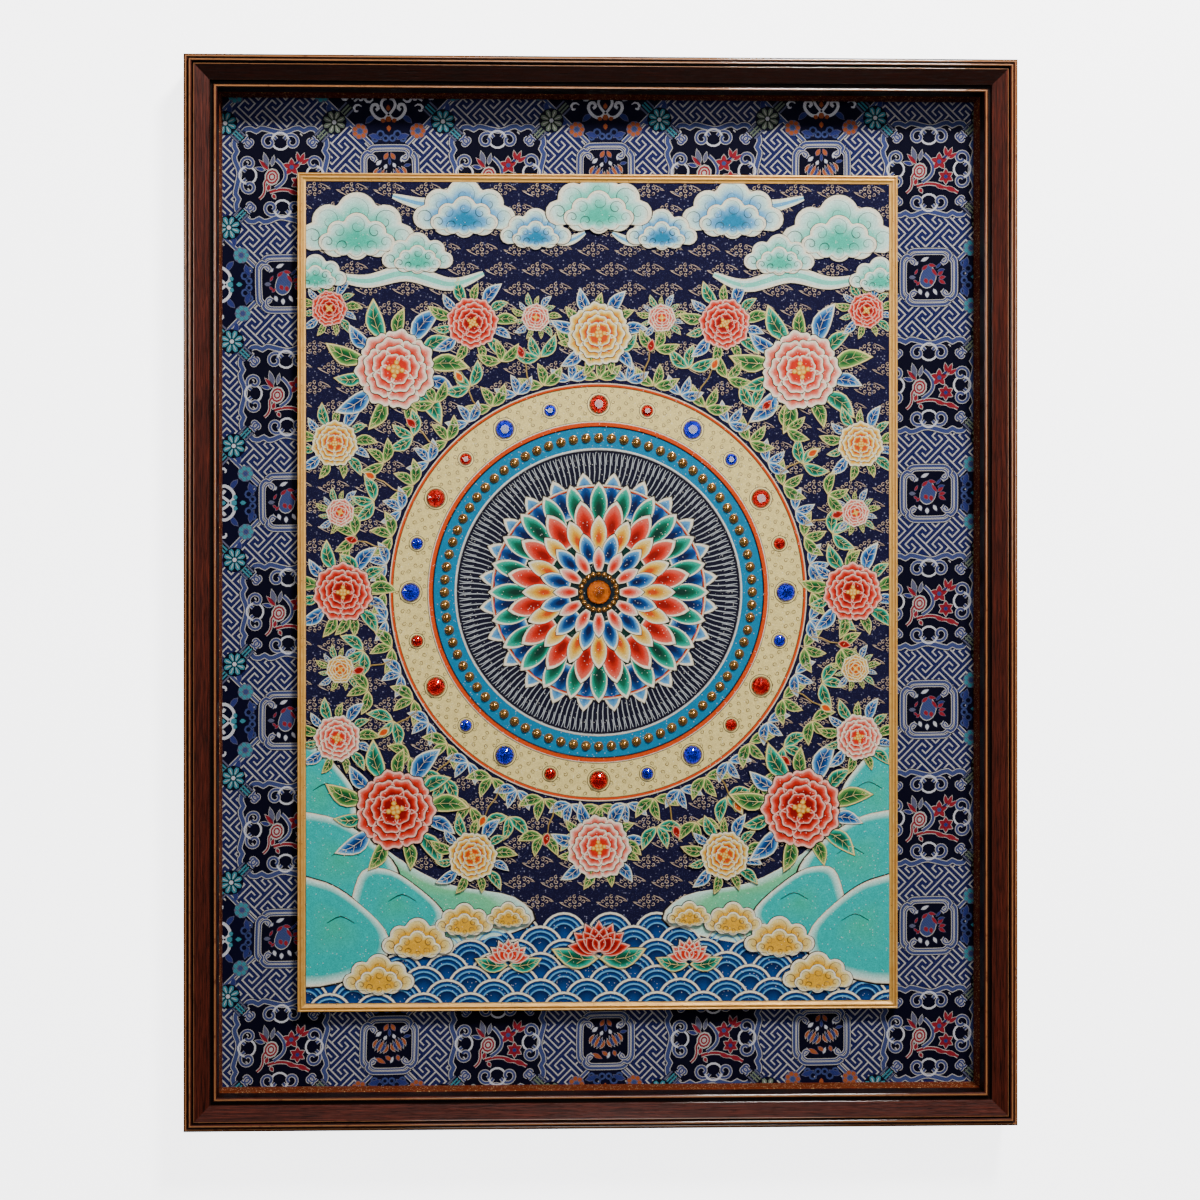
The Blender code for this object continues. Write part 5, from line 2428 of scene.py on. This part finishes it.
def cloud(tray, wires, across, up, scale, coat, turn=0.0, lift=0.5):
    """A lobed body, a smaller one in front of it, and a curl in each lobe."""
    rim, light, middle, deep = CLOUD_COATS[coat]
    for layer, (share, drop) in enumerate(((1.0, 0.0), (0.66, -4.0))):
        lobes = [(x * share, y * share, radius * share) for x, y, radius, start, sweep in CLOUD_LOBES]
        coats = shades(
            (1.0, 0.06, "line"),
            (0.985, 0.3, "line"),
            (0.97, 0.38, rim),
            (0.935, 0.44, rim),
            (0.84, 0.5, light),
            (0.6, 0.5, middle),
            (0.3, 0.48, deep),
            (0.0, 0.46, deep),
            lift=lift + 0.4 * layer,
        )
        where = (across, up + drop * scale, turn, False, scale)
        lay(tray, lobed_outline(lobes), (0, -2 * share), coats, *where)
        for x, y, radius, start, sweep in CLOUD_LOBES:
            start_at = [(x * share * 0.97, (y + drop / share) * share)]
            spot = moved(start_at, across, up, turn, False, scale)[0]
            curl = curl_path(*spot, radius * scale * share * 0.72, start + turn, sweep, 20, 0.14)
            wires.line(curl, 0.6, lift + 0.4 * layer + 0.52, "deep jade" if coat != "gold" else "umber")


def cloud_tail(tray, path, width, coat, lift=0.4):
    """A flowing tail: white edges and a coloured middle."""
    rim, light, middle, _ = CLOUD_COATS[coat]
    flow = smooth_path(path, 6)
    for share, rise, paint in ((1.0, 0.1, "line"), (0.9, 0.2, rim), (0.62, 0.26, light), (0.3, 0.3, middle)):
        tray.ribbon(flow, width * share, lift + rise, PAINT[paint], taper=True)


CLOUDS_ABOVE = (
    # across, up, scale, coat; mirrored on the other side
    (176.0, 262.0, 1.3, "mint"),
    (98.0, 276.0, 1.15, "sky"),
    (132.0, 244.0, 0.8, "mint"),
    (46.0, 262.0, 0.8, "sky"),
    (206.0, 230.0, 0.7, "mint"),
)
cloud_tray, cloud_wires = paint_tray(PICTURE_MIDDLE), Wires(PICTURE_MIDDLE)
for side in (1, -1):
    for path, width, coat in (
        (((200, 232), (170, 226), (140, 232), (108, 224), (84, 232)), 13.0, "mint"),
        (((150, 288), (124, 282), (104, 290), (70, 284)), 12.0, "sky"),
        (((70, 256), (46, 262), (24, 256), (10, 262)), 9.0, "sky"),
    ):
        cloud_tail(cloud_tray, mirrored(path, side), width, coat)
    for layer, (across, up, scale, coat) in enumerate(CLOUDS_ABOVE):
        cloud(cloud_tray, cloud_wires, side * across, up, scale, coat, 0, 0.5 + 0.17 * layer)
cloud(cloud_tray, cloud_wires, 0, 280, 1.2, "mint", 0, 1.4)

# %% Waves
WAVE_RADIUS, WAVE_COLUMNS, WAVE_ROWS, WAVE_STEP, WAVE_LIFT = 17.0, 14, 8, 9.6, 0.22
FIRST_WAVE = (-229.5, -250.0)
WAVE_COAT = (
    (1.0, 0.06, "deep sea"),
    (0.97, 0.20, "bone"),
    (0.91, 0.22, "bone"),
    (0.88, 0.16, "deep sea"),
    (0.78, 0.16, "sea"),
    (0.76, 0.20, "pale sea"),
    (0.71, 0.20, "pale sea"),
    (0.69, 0.14, "deep sea"),
    (0.55, 0.14, "sea"),
    (0.53, 0.18, "pale sea"),
    (0.49, 0.18, "pale sea"),
    (0.47, 0.12, "deep sea"),
    (0.0, 0.14, "sea"),
)
wave = paint_tray()
wave.mound(round_path(0, 0, WAVE_RADIUS, steps=24), (0, 0), shades(*WAVE_COAT))
size = (WAVE_COLUMNS, WAVE_ROWS, 2 * WAVE_RADIUS, -WAVE_STEP)
waves = rows_of(wave.mesh("wave"), *size, FIRST_WAVE, WAVE_LIFT)
print("waves:", len(waves.polygons), "faces")

# %% Hills, gold clouds and water lilies
HILL_COAT = shades(
    (1.0, 0.06, "line"),
    (0.975, 0.34, "line"),
    (0.955, 0.42, "bone"),
    (0.91, 0.46, "foam"),
    (0.78, 0.55, "lagoon"),
    (0.5, 0.6, "lagoon"),
    (0.0, 0.6, "mint"),
    lift=0.4,
)
HILLS = (
    # outlines back to front, on the right; mirrored on the left
    ((226, -112), (208, -110), (190, -126), (176, -150), (184, -184), (226, -192)),
    ((226, -166), (204, -160), (176, -172), (146, -200), (152, -228), (226, -234)),
    ((176, -206), (156, -200), (134, -212), (112, -234), (124, -250), (180, -256)),
    ((226, -212), (204, -208), (178, -222), (152, -250), (164, -276), (226, -284)),
)
MEADOW = ((226, -142), (188, -156), (150, -190), (110, -212))
MEADOW += ((60, -222), (50, -244), (130, -262), (226, -270))
MEADOW_COAT = shades(
    (1.0, 0.06, "line"),
    (0.985, 0.2, "line"),
    (0.975, 0.26, "bone"),
    (0.95, 0.28, "foam"),
    (0.7, 0.3, "meadow"),
    (0.0, 0.3, "mint"),
    lift=0.1,
)
GOLD_CLOUDS = ((132.0, -254.0, 0.8), (98.0, -240.0, 0.65), (160.0, -280.0, 0.8), (66.0, -236.0, 0.5))
hill_tray, hill_wires = paint_tray(PICTURE_MIDDLE), Wires(PICTURE_MIDDLE)
for side in (1, -1):
    meadow = smooth_path(mirrored(MEADOW, side), 4, closed=True)
    hill_tray.mound(meadow, (side * 140, -222), MEADOW_COAT)
    for k, corners in enumerate(HILLS):
        outline = smooth_path(mirrored(corners, side), 5, closed=True)
        middle = (sum(x for x, y in outline) / len(outline), sum(y for x, y in outline) / len(outline))
        coats = [(share, rise + 0.28 * k, tint) for share, rise, tint in HILL_COAT]
        hill_tray.mound(outline, middle, coats)
        twig = [(middle[0] + side * x, middle[1] + y) for x, y in ((-14, 2), (-4, 7), (6, 2))]
        hill_wires.line(smooth_path(twig, 3), 0.8, 0.28 * k + 1.1, "deep jade")
    for layer, (across, up, scale) in enumerate(GOLD_CLOUDS):
        cloud(hill_tray, hill_wires, side * across, up, scale, "gold", 0, 2.0 + 0.17 * layer)


LILY_ROWS = (
    # length share, tilts
    (1.0, (-78, -52, -26, 0, 26, 52, 78)),
    (0.82, (-62, -38, -13, 13, 38, 62)),
    (0.6, (-40, 0, 40)),
)


def water_lily(tray, wires, across, up, radius, coat, lift=2.0):
    """Three rows of pointed petals that open upwards, on two leaves."""
    for turn in (12, 168):
        bend = -0.1 if turn < 90 else 0.1
        leaf(tray, wires, across, up - radius * 0.2, turn, radius * 1.5, "jade", bend, lift)
    for row, (reach, tilts) in enumerate(LILY_ROWS):
        for tilt in tilts:
            petal, coats = leaf_path(radius * reach, radius * 0.44, 0, 6), PEONY_COATS[coat]
            coats = petal_shades(coats, lift + 0.3 + 0.28 * row)
            lay(tray, petal, (radius * 0.35, 0), coats, across, up, 90 + tilt)


for across, up, radius, coat in ((0, -262, 24, "coral"), (66, -268, 17, "pink"), (-66, -268, 17, "pink")):
    water_lily(hill_tray, hill_wires, across, up, radius, coat)

# %% Painted pieces
SIGHT_MARGIN = 0.3  # painted shapes end this far short of the slip's lip
ON_THE_CLOTH = ["painted_medallion", "medallion_curls", "bronze_beads"]
ON_THE_CLOTH += [name for pair in STONE_PIECES.values() for name in pair]
all_wires = garland_wire + [wires.mesh("wires", 3) for wires in (spray_wires, cloud_wires, hill_wires)]
half_sight = (SIGHT_WIDTH / 2 - SIGHT_MARGIN, SIGHT_HEIGHT / 2 - SIGHT_MARGIN)
for name, meshes, finish, slot in (
    ("cloud_knots", [knots], WIRE, "gilt"),
    ("flower_garland", garland_fill, FILL, "painted_cloth"),
    ("flower_sprays", [flower_tray.mesh("sprays")], FILL, "painted_cloth"),
    ("clouds_above", [cloud_tray.mesh("clouds")], FILL, "painted_cloth"),
    ("water_and_hills", [waves, hill_tray.mesh("hills")], FILL, "painted_cloth"),
    ("picture_wires", all_wires, WIRE, "gilt"),
):
    whole = joined_mesh(name, meshes)
    trim_flat_shapes(whole, PICTURE_ACROSS, *half_sight)
    face_outwards(whole)
    add_piece(name, whole, finish)
    ON_THE_CLOTH.append(name)
